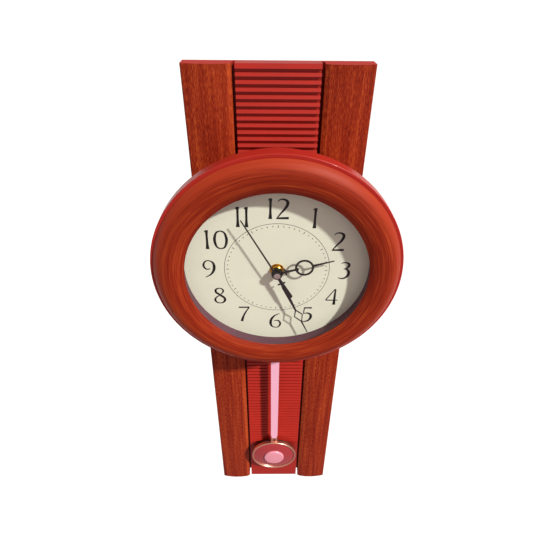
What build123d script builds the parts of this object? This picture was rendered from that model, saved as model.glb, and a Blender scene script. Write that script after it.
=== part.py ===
from build123d import *
import os
from math import asin, cos, pi, radians, sin

# Pendulum wall clock. +Z is up and the dial faces -Y. The wall is the plane Y = 0, and the origin is
# the centre of the hanger's keyhole. A "depth" is a distance in front of the wall, so Y = -depth.

os.makedirs("parts", exist_ok=True)

# Back board and its two hollow stiles
BOARD_WIDTH = 166.0
BOARD_TOP = 39.5
BOARD_BOTTOM = -592.0
BOARD_THICKNESS = 3.0
STILE_WIDTH = 43.2
STILE_WALL = 2.0
STILE_ARRIS = 15.6
STILE_BEVEL = 17.6
CROWN_DEPTH = 19.0
STILE_SCREW_Z = (10.0, -290.0, -570.0)

# Hanger: a keyhole plate let into the back of the board and held by two rivets
HANGER_OUTLINE = (-17, 17, -8, 14)
HANGER_CORNER = 3
HANGER_THICKNESS = 1.2
KEYHOLE_RADIUS = 4.5
KEYHOLE_SLOT = 2.2
KEYHOLE_RISE = 8.0
RIVET_RADIUS = 1.6
RIVET_HEAD = 2.8
RIVET_TOP = 3.8

# Screws: the heads sink into the back of the board
SCREW_START = 0.2
SCREW_SEAT = 1.9
DRIVE_DEPTH = 1.0
STILE_SCREW_HEAD = 3.1
STILE_SCREW_THREAD = 1.5
DRUM_SCREW_HEAD = 3.7
DRUM_SCREW_THREAD = 1.75
BEZEL_SCREW_HEAD = 2.8
BEZEL_SCREW_THREAD = 1.4

# Slatted panel between the stiles: each slat leans out from its brow to its lower edge
PANEL_FACE = 12.0
PANEL_WALL = 1.8
SLAT_ROOT = 12.8
SLAT_BROW = 14.5
SLAT_EDGE = 15.6
SLAT_PITCH = 6.1
SLAT_GROOVE = 3.2
SLAT_COUNT = 88
FIRST_SLAT_LOW = BOARD_TOP - 4.0
SLAT_WIDTH = 74.0

# Drum, bezel and dial, all round the hand axis
DIAL_Z = -140.0
DRUM_BACK = 19.6
DRUM_WALL = 2.2
DRUM_RADIUS = 122.0
DRUM_FRONT = 70.0
SOCKET_RADIUS = 115.7
DIAL_FACE = 59.6
DIAL_THICKNESS = 0.8
DIAL_RADIUS = 96.0
LIP_RADIUS = 89.0
LIP_FRONT = 74.2
GLASS_BACK = 72.3
GLASS_THICKNESS = 1.2
GLASS_RADIUS = 94.2
BEZEL_CROWN = 79.6
BEZEL_SCREW_RADIUS = 104.5
PILLAR_X = 30.0
PILLAR_Z = 70.0
PORT_HALF_WIDTH = 30.0
PORT_LOW = DIAL_Z - 54.0
PORT_HIGH = DIAL_Z + 20.0
PORT_CORNER = 4.0
SPACER_OUTER = 94.0
SPACER_INNER = 91.6

# Movement: a two-shell case with the going train, the battery and the pendulum drive
CASE_HALF_WIDTH = 30.0
CASE_TOP = DIAL_Z + 28.0
CASE_BOTTOM = DIAL_Z - 76.0
CASE_WALL = 1.6
COVER_BACK = 39.5
COVER_FLOOR = 41.0
CASE_SPLIT = 46.0
HOUSING_CEILING = 56.4
HOUSING_FRONT = 58.0
MID_PLATE_BACK = 49.3
MID_PLATE_FRONT = 50.1
BATTERY_Z = DIAL_Z - 42.0
BATTERY_DEPTH = 48.2
BATTERY_RADIUS = 7.1

# Gear train: tooth counts and modules
ROTOR_TEETH = 12
INTERMEDIATE_TEETH = 60
INTERMEDIATE_PINION_TEETH = 10
SECONDS_TEETH = 60
SECONDS_PINION_TEETH = 8
THIRD_TEETH = 60
THIRD_PINION_TEETH = 8
CENTRE_TEETH = 64
CANNON_TEETH = 12
MOTION_TEETH = 36
MOTION_PINION_TEETH = 12
HOUR_TEETH = 48
SETTING_TEETH = 18
ROTOR_MODULE = 0.25
SECONDS_MODULE = 0.28
THIRD_MODULE = 0.30
MOTION_MODULE = 0.32
ADDENDUM = 0.8
DEDENDUM = 1.1
ROOT_FRACTION = 0.35
TIP_FRACTION = 0.11
PIVOT_RADIUS = 0.4
PIVOT_CLEARANCE = 0.05

# Hands, at rest at about 2:26:55, clockwise from twelve
HOUR_ANGLE = 74.3
MINUTE_ANGLE = 156.2
SECOND_ANGLE = 331.4
HOUR_LENGTH = 57.2
MINUTE_LENGTH = 82.6
SECOND_LENGTH = 69.8
SECOND_TAIL = 30.5
HOUR_HAND_BACK = 66.6
MINUTE_HAND_BACK = 68.6
SECOND_HAND_BACK = 70.4
ARBOR_RADIUS = 0.5
CANNON_BORE = 0.58
CANNON_RADIUS = 1.25
HOUR_PIPE_BORE = 1.33
HOUR_PIPE_RADIUS = 2.5
BUSHING_BORE = 2.58
BUSHING_RADIUS = 4.0

# Pendulum
PIVOT_Z = DIAL_Z - 55.0
ARM_END_Z = PIVOT_Z - 29.5
ROD_BACK = 26.4
ROD_THICKNESS = 0.8
ROD_TOP_WIDTH = 11.1
ROD_LOW_WIDTH = 9.7
BOB_Z = DIAL_Z - 376.0
BOB_RADIUS = 34.0
BOB_BACK = 21.5
BOB_RIM_FRONT = 28.6
BOB_DISC_RADIUS = 15.0


def face_plane(depth, x=0.0, z=0.0):
    """Plane that faces the viewer, with local x along +X and local y along +Z."""
    return Plane(origin=(x, -depth, z), x_dir=(1, 0, 0), z_dir=(0, -1, 0))


def turning_plane(z, x=0.0):
    """Half-section plane of a turned piece: local x is radius and local y is depth."""
    return Plane(origin=(x, 0, z), x_dir=(1, 0, 0), z_dir=(0, 0, -1))


def turning_axis(z, x=0.0):
    return Axis((x, 0, z), (0, 1, 0))


def hand_plane(depth, clock_angle):
    """Plane of a hand: local y points along the hand, at a clockwise angle from twelve."""
    turn = radians(clock_angle)
    return Plane(origin=(0, -depth, DIAL_Z), x_dir=(cos(turn), 0, -sin(turn)), z_dir=(0, -1, 0))


def discs(points, radius, start, end, mode=Mode.ADD):
    """Round posts or holes at (x, z) points, between two depths."""
    with BuildSketch(face_plane(start)) as outline:
        with Locations(*points):
            Circle(radius)
    extrude(outline.sketch, amount=end - start, mode=mode)


def disc(radius, start, end, x=0.0, z=DIAL_Z, mode=Mode.ADD):
    discs([(x, z)], radius, start, end, mode)


def block(left, right, low, high, start, end, mode=Mode.ADD, corner=0.0):
    """Rectangular block or pocket between two x, two z and two depths."""
    with BuildSketch(face_plane(start, (left + right) / 2, (low + high) / 2)) as outline:
        if corner > 0:
            RectangleRounded(right - left, high - low, corner)
        else:
            Rectangle(right - left, high - low)
    extrude(outline.sketch, amount=end - start, mode=mode)


def dome(rim_radius, rim, top):
    """Arc of a ball centred on the turning axis, from a rim up to the axis."""
    height = top - rim
    ball = (rim_radius**2 + height**2) / (2 * height)
    half_angle = asin(rim_radius / ball) / 2
    middle = (ball * sin(half_angle), top - ball + ball * cos(half_angle))
    ThreePointArc((rim_radius, rim), middle, (0, top))


def gear_points(teeth, module, phase):
    """Slim trapezoid teeth, one of them centred on the phase angle, in degrees from +X."""
    pitch_radius = teeth * module / 2
    tip_radius = pitch_radius + ADDENDUM * module
    root_radius = pitch_radius - DEDENDUM * module
    pitch_angle = 2 * pi / teeth
    tip_half = TIP_FRACTION * pitch_angle * pitch_radius / tip_radius
    root_half = ROOT_FRACTION * pitch_angle
    points = []
    for tooth in range(teeth):
        centre = radians(phase) + tooth * pitch_angle
        for radius, angle in (
            (root_radius, centre - root_half),
            (tip_radius, centre - tip_half),
            (tip_radius, centre + tip_half),
            (root_radius, centre + root_half),
        ):
            points.append((radius * cos(angle), radius * sin(angle)))
    return points


def gear(teeth, module, phase, start, thickness, centre):
    """Toothed disc about an (x, z) centre given relative to the hand axis."""
    with BuildSketch(face_plane(start, centre[0], DIAL_Z + centre[1])) as outline:
        with BuildLine():
            Polyline(*gear_points(teeth, module, phase), close=True)
        make_face()
    extrude(outline.sketch, amount=thickness)


def arbor(radius, start, end, centre):
    disc(radius, start, end, centre[0], DIAL_Z + centre[1])


def polar(distance, angle, origin=(0.0, 0.0)):
    """Point at a distance and an angle from +X, relative to an origin."""
    turn = radians(angle)
    return (origin[0] + distance * cos(turn), origin[1] + distance * sin(turn))


def gap_phase(teeth, direction):
    """Phase that puts a gap between two teeth in the given direction."""
    return direction + 180.0 / teeth


# ---------------------------------------------------------------- back board
half_width = BOARD_WIDTH / 2
channel_half = half_width - STILE_WIDTH
board_half = half_width - STILE_WALL - 0.1
stile_x = channel_half + STILE_WIDTH / 2
stile_screw_points = [(side * stile_x, z) for side in (-1, 1) for z in STILE_SCREW_Z]
pillars = [(x, DIAL_Z + z) for x in (-PILLAR_X, PILLAR_X) for z in (-PILLAR_Z, PILLAR_Z)]
rivets = [(-13.0, 3.0), (13.0, 3.0)]

with BuildPart() as back_board:
    block(-board_half, board_half, BOARD_BOTTOM, BOARD_TOP, 0, BOARD_THICKNESS)
    block(
        -PORT_HALF_WIDTH, PORT_HALF_WIDTH, PORT_LOW, PORT_HIGH,
        0, BOARD_THICKNESS, Mode.SUBTRACT, PORT_CORNER,
    )
    block(*HANGER_OUTLINE, 0, HANGER_THICKNESS, Mode.SUBTRACT, HANGER_CORNER)
    # room behind the plate for the head of the wall screw
    block(-8, 8, -6, 12, 0, BOARD_THICKNESS, Mode.SUBTRACT, HANGER_CORNER)
    discs(rivets, RIVET_RADIUS, 0, BOARD_THICKNESS, Mode.SUBTRACT)
    discs(stile_screw_points, STILE_SCREW_HEAD + 0.2, 0, SCREW_SEAT, Mode.SUBTRACT)
    discs(stile_screw_points, STILE_SCREW_THREAD + 0.3, 0, BOARD_THICKNESS, Mode.SUBTRACT)
    discs(pillars, DRUM_SCREW_HEAD + 0.3, 0, SCREW_SEAT, Mode.SUBTRACT)
    discs(pillars, DRUM_SCREW_THREAD + 0.25, 0, BOARD_THICKNESS, Mode.SUBTRACT)
back_board.part.label = "back_board"
export_step(back_board.part, "parts/back_board.step")

# Keyhole plate, let into the back of the board: round entry at the origin, slot above it
with BuildPart() as hanger_plate:
    block(*HANGER_OUTLINE, 0, HANGER_THICKNESS, Mode.ADD, HANGER_CORNER)
    disc(KEYHOLE_RADIUS, 0, HANGER_THICKNESS, 0, 0, Mode.SUBTRACT)
    block(-KEYHOLE_SLOT, KEYHOLE_SLOT, 0, KEYHOLE_RISE, 0, HANGER_THICKNESS, Mode.SUBTRACT)
    disc(KEYHOLE_SLOT, 0, HANGER_THICKNESS, 0, KEYHOLE_RISE, Mode.SUBTRACT)
    discs(rivets, RIVET_RADIUS, 0, HANGER_THICKNESS, Mode.SUBTRACT)
hanger_plate.part.label = "hanger_plate"
export_step(hanger_plate.part, "parts/hanger_plate.step")

with BuildPart() as hanger_rivets:
    discs(rivets, RIVET_RADIUS, 0, BOARD_THICKNESS)
    discs(rivets, RIVET_HEAD, BOARD_THICKNESS, RIVET_TOP)
hanger_rivets.part.label = "hanger_rivets"
export_step(hanger_rivets.part, "parts/hanger_rivets.step")


# ---------------------------------------------------------------- stiles
def stile_section(side, inset, z):
    """Stile section at a height: local x is X and local y is Y. The front is crowned."""
    inner = channel_half + inset
    outer = half_width - inset
    shoulder = CROWN_DEPTH - 2.2 - inset
    with BuildSketch(Plane.XY.offset(z)) as section:
        with BuildLine():
            Polyline(
                (side * inner, -BOARD_THICKNESS),
                (side * inner, -STILE_ARRIS + 0.6 * inset),
                (side * (inner + 4.0), -STILE_BEVEL + inset),
            )
            ThreePointArc(
                (side * (inner + 4.0), -STILE_BEVEL + inset),
                (side * stile_x, -CROWN_DEPTH + inset),
                (side * (outer - 1.8), -shoulder),
            )
            ThreePointArc(
                (side * (outer - 1.8), -shoulder),
                (side * (outer - 0.5), -shoulder + 0.6),
                (side * outer, -shoulder + 2.0),
            )
            Polyline(
                (side * outer, -shoulder + 2.0),
                (side * outer, -BOARD_THICKNESS),
                (side * inner, -BOARD_THICKNESS),
            )
        make_face()
    return section.sketch


def stile_solid(side):
    """Closed-ended hollow cap whose outer skirt laps the board, with three screw bosses."""
    length = BOARD_TOP - BOARD_BOTTOM
    extrude(stile_section(side, 0.0, BOARD_BOTTOM), amount=length)
    inside = stile_section(side, STILE_WALL, BOARD_BOTTOM + STILE_WALL)
    extrude(inside, amount=length - 2 * STILE_WALL, mode=Mode.SUBTRACT)
    skirt = sorted((side * board_half, side * half_width))
    block(skirt[0], skirt[1], BOARD_BOTTOM, BOARD_TOP, 0, BOARD_THICKNESS + 0.5)
    bosses = [(side * stile_x, z) for z in STILE_SCREW_Z]
    discs(bosses, 3.6, BOARD_THICKNESS, CROWN_DEPTH - 1.2)
    discs(bosses, STILE_SCREW_THREAD, BOARD_THICKNESS, 14.0, Mode.SUBTRACT)


with BuildPart() as left_stile:
    stile_solid(-1)
left_stile.part.label = "left_stile"
export_step(left_stile.part, "parts/left_stile.step")

with BuildPart() as right_stile:
    stile_solid(1)
right_stile.part.label = "right_stile"
export_step(right_stile.part, "parts/right_stile.step")

with BuildPart() as stile_screws:
    discs(stile_screw_points, STILE_SCREW_HEAD, SCREW_START, SCREW_SEAT)
    discs(stile_screw_points, STILE_SCREW_THREAD, SCREW_SEAT, 12.0)
    discs(stile_screw_points, 0.9, SCREW_START, DRIVE_DEPTH, Mode.SUBTRACT)
stile_screws.part.label = "stile_screws"
export_step(stile_screws.part, "parts/stile_screws.step")

# ---------------------------------------------------------------- slatted panel
panel_half = SLAT_WIDTH / 2
with BuildPart() as slat_panel:
    block(-panel_half, panel_half, BOARD_BOTTOM, BOARD_TOP, BOARD_THICKNESS, PANEL_FACE)
    block(
        -panel_half + PANEL_WALL, panel_half - PANEL_WALL, BOARD_BOTTOM + PANEL_WALL, BOARD_TOP - PANEL_WALL,
        BOARD_THICKNESS, PANEL_FACE - PANEL_WALL, Mode.SUBTRACT,
    )
    with BuildSketch(Plane.YZ.offset(-panel_half)) as slats:
        with BuildLine():
            points = [(-PANEL_FACE + 0.5, BOARD_TOP), (-SLAT_BROW, BOARD_TOP)]
            for slat in range(SLAT_COUNT):
                low = FIRST_SLAT_LOW - slat * SLAT_PITCH
                points.append((-SLAT_EDGE, low))
                points.append((-SLAT_ROOT, low))
                points.append((-SLAT_ROOT, low - SLAT_GROOVE))
                points.append((-SLAT_BROW, low - SLAT_GROOVE))
            points.append((-SLAT_BROW, BOARD_BOTTOM))
            points.append((-PANEL_FACE + 0.5, BOARD_BOTTOM))
            Polyline(*points, close=True)
        make_face()
    extrude(slats.sketch, amount=SLAT_WIDTH)
    block(
        -PORT_HALF_WIDTH, PORT_HALF_WIDTH, PORT_LOW, PORT_HIGH,
        BOARD_THICKNESS, SLAT_EDGE, Mode.SUBTRACT, PORT_CORNER,
    )
    discs(pillars, 6.4, BOARD_THICKNESS, SLAT_EDGE, Mode.SUBTRACT)
slat_panel.part.label = "slat_panel"
export_step(slat_panel.part, "parts/slat_panel.step")

# ---------------------------------------------------------------- drum
bezel_screw_points = [polar(BEZEL_SCREW_RADIUS, angle, (0, DIAL_Z)) for angle in (45, 135, 225, 315)]
ledge_back = DIAL_FACE - DIAL_THICKNESS - 2.2
ledge_front = DIAL_FACE - DIAL_THICKNESS

with BuildPart() as drum_case:
    with BuildSketch(turning_plane(DIAL_Z)) as drum_section:
        with BuildLine():
            Polyline(
                (0, DRUM_BACK), (109.8, DRUM_BACK), (118, 50), (DRUM_RADIUS, 56.5),
                (DRUM_RADIUS, DRUM_FRONT - 0.9),
            )
            ThreePointArc(
                (DRUM_RADIUS, DRUM_FRONT - 0.9), (DRUM_RADIUS - 0.25, DRUM_FRONT - 0.25),
                (DRUM_RADIUS - 0.9, DRUM_FRONT),
            )
            Polyline(
                (DRUM_RADIUS - 0.9, DRUM_FRONT), (SOCKET_RADIUS, DRUM_FRONT), (SOCKET_RADIUS, ledge_front),
                (92, ledge_front), (92, ledge_back), (SOCKET_RADIUS, ledge_back),
                (107.5, DRUM_BACK + DRUM_WALL), (0, DRUM_BACK + DRUM_WALL), (0, DRUM_BACK),
            )
        make_face()
    revolve(drum_section.sketch, axis=turning_axis(DIAL_Z))
    block(
        -PORT_HALF_WIDTH, PORT_HALF_WIDTH, PORT_LOW, PORT_HIGH,
        DRUM_BACK, DRUM_BACK + DRUM_WALL, Mode.SUBTRACT, PORT_CORNER,
    )
    # slot in the lower wall for the swinging rod
    block(-18, 18, DIAL_Z - 126, DIAL_Z - 100, 22.5, 32, Mode.SUBTRACT)
    discs(pillars, 6, BOARD_THICKNESS, DRUM_BACK + 0.5)
    discs(pillars, DRUM_SCREW_THREAD, BOARD_THICKNESS, 18, Mode.SUBTRACT)
    discs(bezel_screw_points, 1.7, ledge_back, ledge_front, Mode.SUBTRACT)
drum_case.part.label = "drum_case"
export_step(drum_case.part, "parts/drum_case.step")

with BuildPart() as drum_screws:
    discs(pillars, DRUM_SCREW_HEAD, SCREW_START, SCREW_SEAT)
    discs(pillars, DRUM_SCREW_THREAD, SCREW_SEAT, 16)
    discs(pillars, 1.1, SCREW_START, DRIVE_DEPTH, Mode.SUBTRACT)
drum_screws.part.label = "drum_screws"
export_step(drum_screws.part, "parts/drum_screws.step")

# ---------------------------------------------------------------- bezel, glass and dial
glass_front = GLASS_BACK + GLASS_THICKNESS
spigot = SOCKET_RADIUS - 0.3
with BuildPart() as bezel_ring:
    with BuildSketch(turning_plane(DIAL_Z)) as bezel_section:
        with BuildLine():
            Polyline((spigot, ledge_front), (spigot, 70.2), (118.4, 70.2), (118.8, 71.2))
            ThreePointArc((118.8, 71.2), (112.8, 77.2), (BEZEL_SCREW_RADIUS, BEZEL_CROWN))
            ThreePointArc((BEZEL_SCREW_RADIUS, BEZEL_CROWN), (96.2, 78.3), (LIP_RADIUS, LIP_FRONT))
            Polyline(
                (LIP_RADIUS, LIP_FRONT), (LIP_RADIUS, glass_front), (96, glass_front),
                (97.6, 76.2), (BEZEL_SCREW_RADIUS, BEZEL_CROWN - 2.2), (111.2, 75.2), (113.4, 72.6),
                (113.4, ledge_front), (spigot, ledge_front),
            )
        make_face()
    revolve(bezel_section.sketch, axis=turning_axis(DIAL_Z))
    discs(bezel_screw_points, 4, ledge_front, BEZEL_CROWN - 1.2)
    discs(bezel_screw_points, BEZEL_SCREW_THREAD, ledge_front, 70, Mode.SUBTRACT)
bezel_ring.part.label = "bezel_ring"
export_step(bezel_ring.part, "parts/bezel_ring.step")

with BuildPart() as bezel_screws:
    discs(bezel_screw_points, BEZEL_SCREW_HEAD, ledge_back - 1.8, ledge_back)
    discs(bezel_screw_points, BEZEL_SCREW_THREAD, ledge_back, 67)
    discs(bezel_screw_points, 0.9, ledge_back - 1.8, ledge_back - 0.9, Mode.SUBTRACT)
bezel_screws.part.label = "bezel_screws"
export_step(bezel_screws.part, "parts/bezel_screws.step")

with BuildPart() as dial_glass:
    disc(GLASS_RADIUS, GLASS_BACK, glass_front)
dial_glass.part.label = "dial_glass"
export_step(dial_glass.part, "parts/dial_glass.step")

with BuildPart() as spacer_ring:
    disc(SPACER_OUTER, DIAL_FACE, GLASS_BACK)
    disc(SPACER_INNER, DIAL_FACE, GLASS_BACK, mode=Mode.SUBTRACT)
spacer_ring.part.label = "spacer_ring"
export_step(spacer_ring.part, "parts/spacer_ring.step")

with BuildPart() as dial_plate:
    disc(DIAL_RADIUS, ledge_front, DIAL_FACE)
    disc(4.4, ledge_front, DIAL_FACE, mode=Mode.SUBTRACT)
dial_plate.part.label = "dial_plate"
export_step(dial_plate.part, "parts/dial_plate.step")

# ---------------------------------------------------------------- movement case
# Axes of the train, relative to the hand axis. Each centre distance is half the sum of the tooth
# counts times the module.
INTERMEDIATE = polar((INTERMEDIATE_PINION_TEETH + SECONDS_TEETH) * SECONDS_MODULE / 2, 180)
ROTOR = polar((ROTOR_TEETH + INTERMEDIATE_TEETH) * ROTOR_MODULE / 2, 225, INTERMEDIATE)
THIRD_DISTANCE = (SECONDS_PINION_TEETH + THIRD_TEETH) * THIRD_MODULE / 2
CENTRE_MODULE = 2 * THIRD_DISTANCE / (THIRD_PINION_TEETH + CENTRE_TEETH)
THIRD = polar(THIRD_DISTANCE, 60)
MOTION_DISTANCE = (CANNON_TEETH + MOTION_TEETH) * MOTION_MODULE / 2
HOUR_MODULE = 2 * MOTION_DISTANCE / (MOTION_PINION_TEETH + HOUR_TEETH)
MOTION = polar(MOTION_DISTANCE, -20)
SETTING = polar((MOTION_TEETH + SETTING_TEETH) * MOTION_MODULE / 2, -20, MOTION)
CENTRE = (0.0, 0.0)


def on_case(points):
    return [(x, DIAL_Z + z) for x, z in points]


plate_posts = on_case([(-25, 23), (25, 23), (-25, -9), (25, -9)])
inner_half = CASE_HALF_WIDTH - CASE_WALL
coil_centre = DIAL_Z - 65.0

with BuildPart() as movement_housing:
    block(-CASE_HALF_WIDTH, CASE_HALF_WIDTH, CASE_BOTTOM, CASE_TOP, CASE_SPLIT, HOUSING_FRONT, corner=4)
    block(
        -inner_half, inner_half, CASE_BOTTOM + CASE_WALL, CASE_TOP - CASE_WALL,
        CASE_SPLIT, HOUSING_CEILING, Mode.SUBTRACT, 2.4,
    )
    # ribs either side of the battery
    block(-inner_half, inner_half, DIAL_Z - 34.5, DIAL_Z - 33.4, CASE_SPLIT, HOUSING_CEILING + 0.2)
    block(-inner_half, inner_half, DIAL_Z - 50.6, DIAL_Z - 49.5, CASE_SPLIT, HOUSING_CEILING + 0.2)
    discs(plate_posts, 1.6, MID_PLATE_FRONT, HOUSING_CEILING + 0.2)
    disc(BUSHING_RADIUS, HOUSING_CEILING, 64.2)
    disc(BUSHING_BORE, HOUSING_CEILING, 64.2, mode=Mode.SUBTRACT)
    # blind bearings for the motion wheel and the setting shaft, and a seat for the pendulum's pin
    discs(on_case([MOTION, SETTING]), PIVOT_RADIUS + PIVOT_CLEARANCE, HOUSING_CEILING, 57.2, Mode.SUBTRACT)
    disc(0.75, HOUSING_CEILING, 57.2, z=PIVOT_Z, mode=Mode.SUBTRACT)
    # opening under the swing arm
    block(-9.5, 9.5, CASE_BOTTOM, CASE_BOTTOM + CASE_WALL, CASE_SPLIT, 48.6, Mode.SUBTRACT)
movement_housing.part.label = "movement_housing"
export_step(movement_housing.part, "parts/movement_housing.step")

stator_posts = on_case([(-24, -9), (-24, -22), (-7, -22)])
board_posts = on_case([(6, -28), (23, -28), (6, -15), (23, -15)])
train_axes = on_case([CENTRE, INTERMEDIATE, ROTOR, THIRD])

with BuildPart() as movement_cover:
    block(-CASE_HALF_WIDTH, CASE_HALF_WIDTH, CASE_BOTTOM, CASE_TOP, COVER_BACK, CASE_SPLIT, corner=4)
    block(
        -inner_half, inner_half, CASE_BOTTOM + CASE_WALL, CASE_TOP - CASE_WALL,
        COVER_FLOOR, CASE_SPLIT, Mode.SUBTRACT, 2.4,
    )
    block(-inner_half, inner_half, DIAL_Z - 34.5, DIAL_Z - 33.4, COVER_FLOOR - 0.2, CASE_SPLIT)
    block(-inner_half, inner_half, DIAL_Z - 50.6, DIAL_Z - 49.5, COVER_FLOOR - 0.2, CASE_SPLIT)
    discs(stator_posts, 1.3, COVER_FLOOR - 0.2, 46.9)
    discs(board_posts, 1.3, COVER_FLOOR - 0.2, 42.2)
    # open battery bay at the back
    block(-27, 27, DIAL_Z - 49.5, DIAL_Z - 34.5, COVER_BACK, COVER_FLOOR, Mode.SUBTRACT)
    discs(train_axes, PIVOT_RADIUS + PIVOT_CLEARANCE, COVER_BACK + 0.4, COVER_FLOOR, Mode.SUBTRACT)
    discs(on_case([SETTING]), 0.88, COVER_BACK, COVER_FLOOR, Mode.SUBTRACT)
    disc(0.75, COVER_BACK + 0.4, COVER_FLOOR, z=PIVOT_Z, mode=Mode.SUBTRACT)
    block(-9.5, 9.5, CASE_BOTTOM, CASE_BOTTOM + CASE_WALL, 42.4, CASE_SPLIT, Mode.SUBTRACT)
movement_cover.part.label = "movement_cover"
export_step(movement_cover.part, "parts/movement_cover.step")

with BuildPart() as mid_plate:
    block(-28.2, 28.2, DIAL_Z - 12, DIAL_Z + 26.2, MID_PLATE_BACK, MID_PLATE_FRONT, corner=3)
    disc(CANNON_RADIUS + 0.06, MID_PLATE_BACK, MID_PLATE_FRONT, mode=Mode.SUBTRACT)
    discs(
        on_case([INTERMEDIATE, ROTOR, THIRD, MOTION]), PIVOT_RADIUS + PIVOT_CLEARANCE,
        MID_PLATE_BACK, MID_PLATE_FRONT, Mode.SUBTRACT,
    )
    discs(on_case([SETTING]), 0.88, MID_PLATE_BACK, MID_PLATE_FRONT, Mode.SUBTRACT)
mid_plate.part.label = "mid_plate"
export_step(mid_plate.part, "parts/mid_plate.step")

# ---------------------------------------------------------------- step motor and circuit
MAGNET_RADIUS = 2.5
CORE_Z = DIAL_Z - 20.5

with BuildPart() as stator:
    block(-26, -5, DIAL_Z - 10.4, DIAL_Z - 2.4, 46.9, 47.8)
    block(-26, -22, DIAL_Z - 24, DIAL_Z - 10.4, 46.9, 47.8)
    block(-9, -5, DIAL_Z - 24, DIAL_Z - 10.4, 46.9, 47.8)
    discs(on_case([ROTOR]), MAGNET_RADIUS + 0.5, 46.9, 47.8, Mode.SUBTRACT)
stator.part.label = "stator"
export_step(stator.part, "parts/stator.step")

with BuildPart() as coil_core:
    block(-26, -5, CORE_Z - 1.5, CORE_Z + 1.5, 47.8, 48.8)
coil_core.part.label = "coil_core"
export_step(coil_core.part, "parts/coil_core.step")

COIL_DEPTH = 48.3


def coil_sleeve(radius, left, right, mode=Mode.ADD):
    """Round sleeve along X about the core bar."""
    with BuildSketch(Plane.YZ.offset(left)) as outline:
        with Locations((-COIL_DEPTH, CORE_Z)):
            Circle(radius)
    extrude(outline.sketch, amount=right - left, mode=mode)


with BuildPart() as coil_bobbin:
    coil_sleeve(4.6, -21.4, -20.4)
    coil_sleeve(4.6, -10.6, -9.6)
    coil_sleeve(2.4, -21.4, -9.6)
    block(-21.4, -9.6, CORE_Z - 1.5, CORE_Z + 1.5, 47.8, 48.8, Mode.SUBTRACT)
coil_bobbin.part.label = "coil_bobbin"
export_step(coil_bobbin.part, "parts/coil_bobbin.step")

with BuildPart() as coil_winding:
    coil_sleeve(4.2, -20.4, -10.6)
    coil_sleeve(2.4, -20.4, -10.6, Mode.SUBTRACT)
coil_winding.part.label = "coil_winding"
export_step(coil_winding.part, "parts/coil_winding.step")

with BuildPart() as circuit_board:
    block(2.5, 27, DIAL_Z - 31, DIAL_Z - 12.5, 42.2, 43.2)
circuit_board.part.label = "circuit_board"
export_step(circuit_board.part, "parts/circuit_board.step")

with BuildPart() as timing_chip:
    with BuildSketch(turning_plane(DIAL_Z - 24, 11)) as chip_section:
        with BuildLine():
            Line((0, 44.5), (0, 43.2))
            Line((0, 43.2), (3.2, 43.2))
            dome(3.2, 43.2, 44.5)
        make_face()
    revolve(chip_section.sketch, axis=turning_axis(DIAL_Z - 24, 11))
timing_chip.part.label = "timing_chip"
export_step(timing_chip.part, "parts/timing_chip.step")

with BuildPart() as quartz_crystal:
    with BuildSketch(Plane.YZ.offset(16)) as can:
        with Locations((-44.7, DIAL_Z - 17)):
            Circle(1.5)
    extrude(can.sketch, amount=8)
quartz_crystal.part.label = "quartz_crystal"
export_step(quartz_crystal.part, "parts/quartz_crystal.step")

# ---------------------------------------------------------------- going train
# Phases put a tooth of the driver in a gap of its mate on each line of centres.
with BuildPart() as rotor:
    gear(ROTOR_TEETH, ROTOR_MODULE, 45, 44.6, 1.6, ROTOR)
    arbor(PIVOT_RADIUS, COVER_BACK + 0.5, MID_PLATE_FRONT, ROTOR)
    arbor(0.9, 46.2, 46.4, ROTOR)
rotor.part.label = "rotor"
export_step(rotor.part, "parts/rotor.step")

with BuildPart() as rotor_magnet:
    arbor(MAGNET_RADIUS, 46.4, 48.6, ROTOR)
    disc(PIVOT_RADIUS, 46.4, 48.6, ROTOR[0], DIAL_Z + ROTOR[1], Mode.SUBTRACT)
rotor_magnet.part.label = "rotor_magnet"
export_step(rotor_magnet.part, "parts/rotor_magnet.step")

with BuildPart() as intermediate_wheel:
    gear(INTERMEDIATE_PINION_TEETH, SECONDS_MODULE, 0, 42.6, 2.5, INTERMEDIATE)
    gear(INTERMEDIATE_TEETH, ROTOR_MODULE, gap_phase(INTERMEDIATE_TEETH, 225), 45.0, 0.8, INTERMEDIATE)
    arbor(PIVOT_RADIUS, COVER_BACK + 0.5, MID_PLATE_FRONT, INTERMEDIATE)
intermediate_wheel.part.label = "intermediate_wheel"
export_step(intermediate_wheel.part, "parts/intermediate_wheel.step")

with BuildPart() as seconds_wheel:
    gear(SECONDS_TEETH, SECONDS_MODULE, gap_phase(SECONDS_TEETH, 180), 43.0, 0.8, CENTRE)
    gear(SECONDS_PINION_TEETH, THIRD_MODULE, 60, 43.8, 3.6, CENTRE)
    arbor(ARBOR_RADIUS, COVER_FLOOR + 0.1, 71.2, CENTRE)
    arbor(PIVOT_RADIUS, COVER_BACK + 0.5, COVER_FLOOR + 0.1, CENTRE)
seconds_wheel.part.label = "seconds_wheel"
export_step(seconds_wheel.part, "parts/seconds_wheel.step")

with BuildPart() as third_wheel:
    gear(THIRD_TEETH, THIRD_MODULE, gap_phase(THIRD_TEETH, 240), 46.4, 0.8, THIRD)
    gear(THIRD_PINION_TEETH, CENTRE_MODULE, 240, 47.2, 1.8, THIRD)
    arbor(PIVOT_RADIUS, COVER_BACK + 0.5, MID_PLATE_FRONT, THIRD)
third_wheel.part.label = "third_wheel"
export_step(third_wheel.part, "parts/third_wheel.step")

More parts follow.
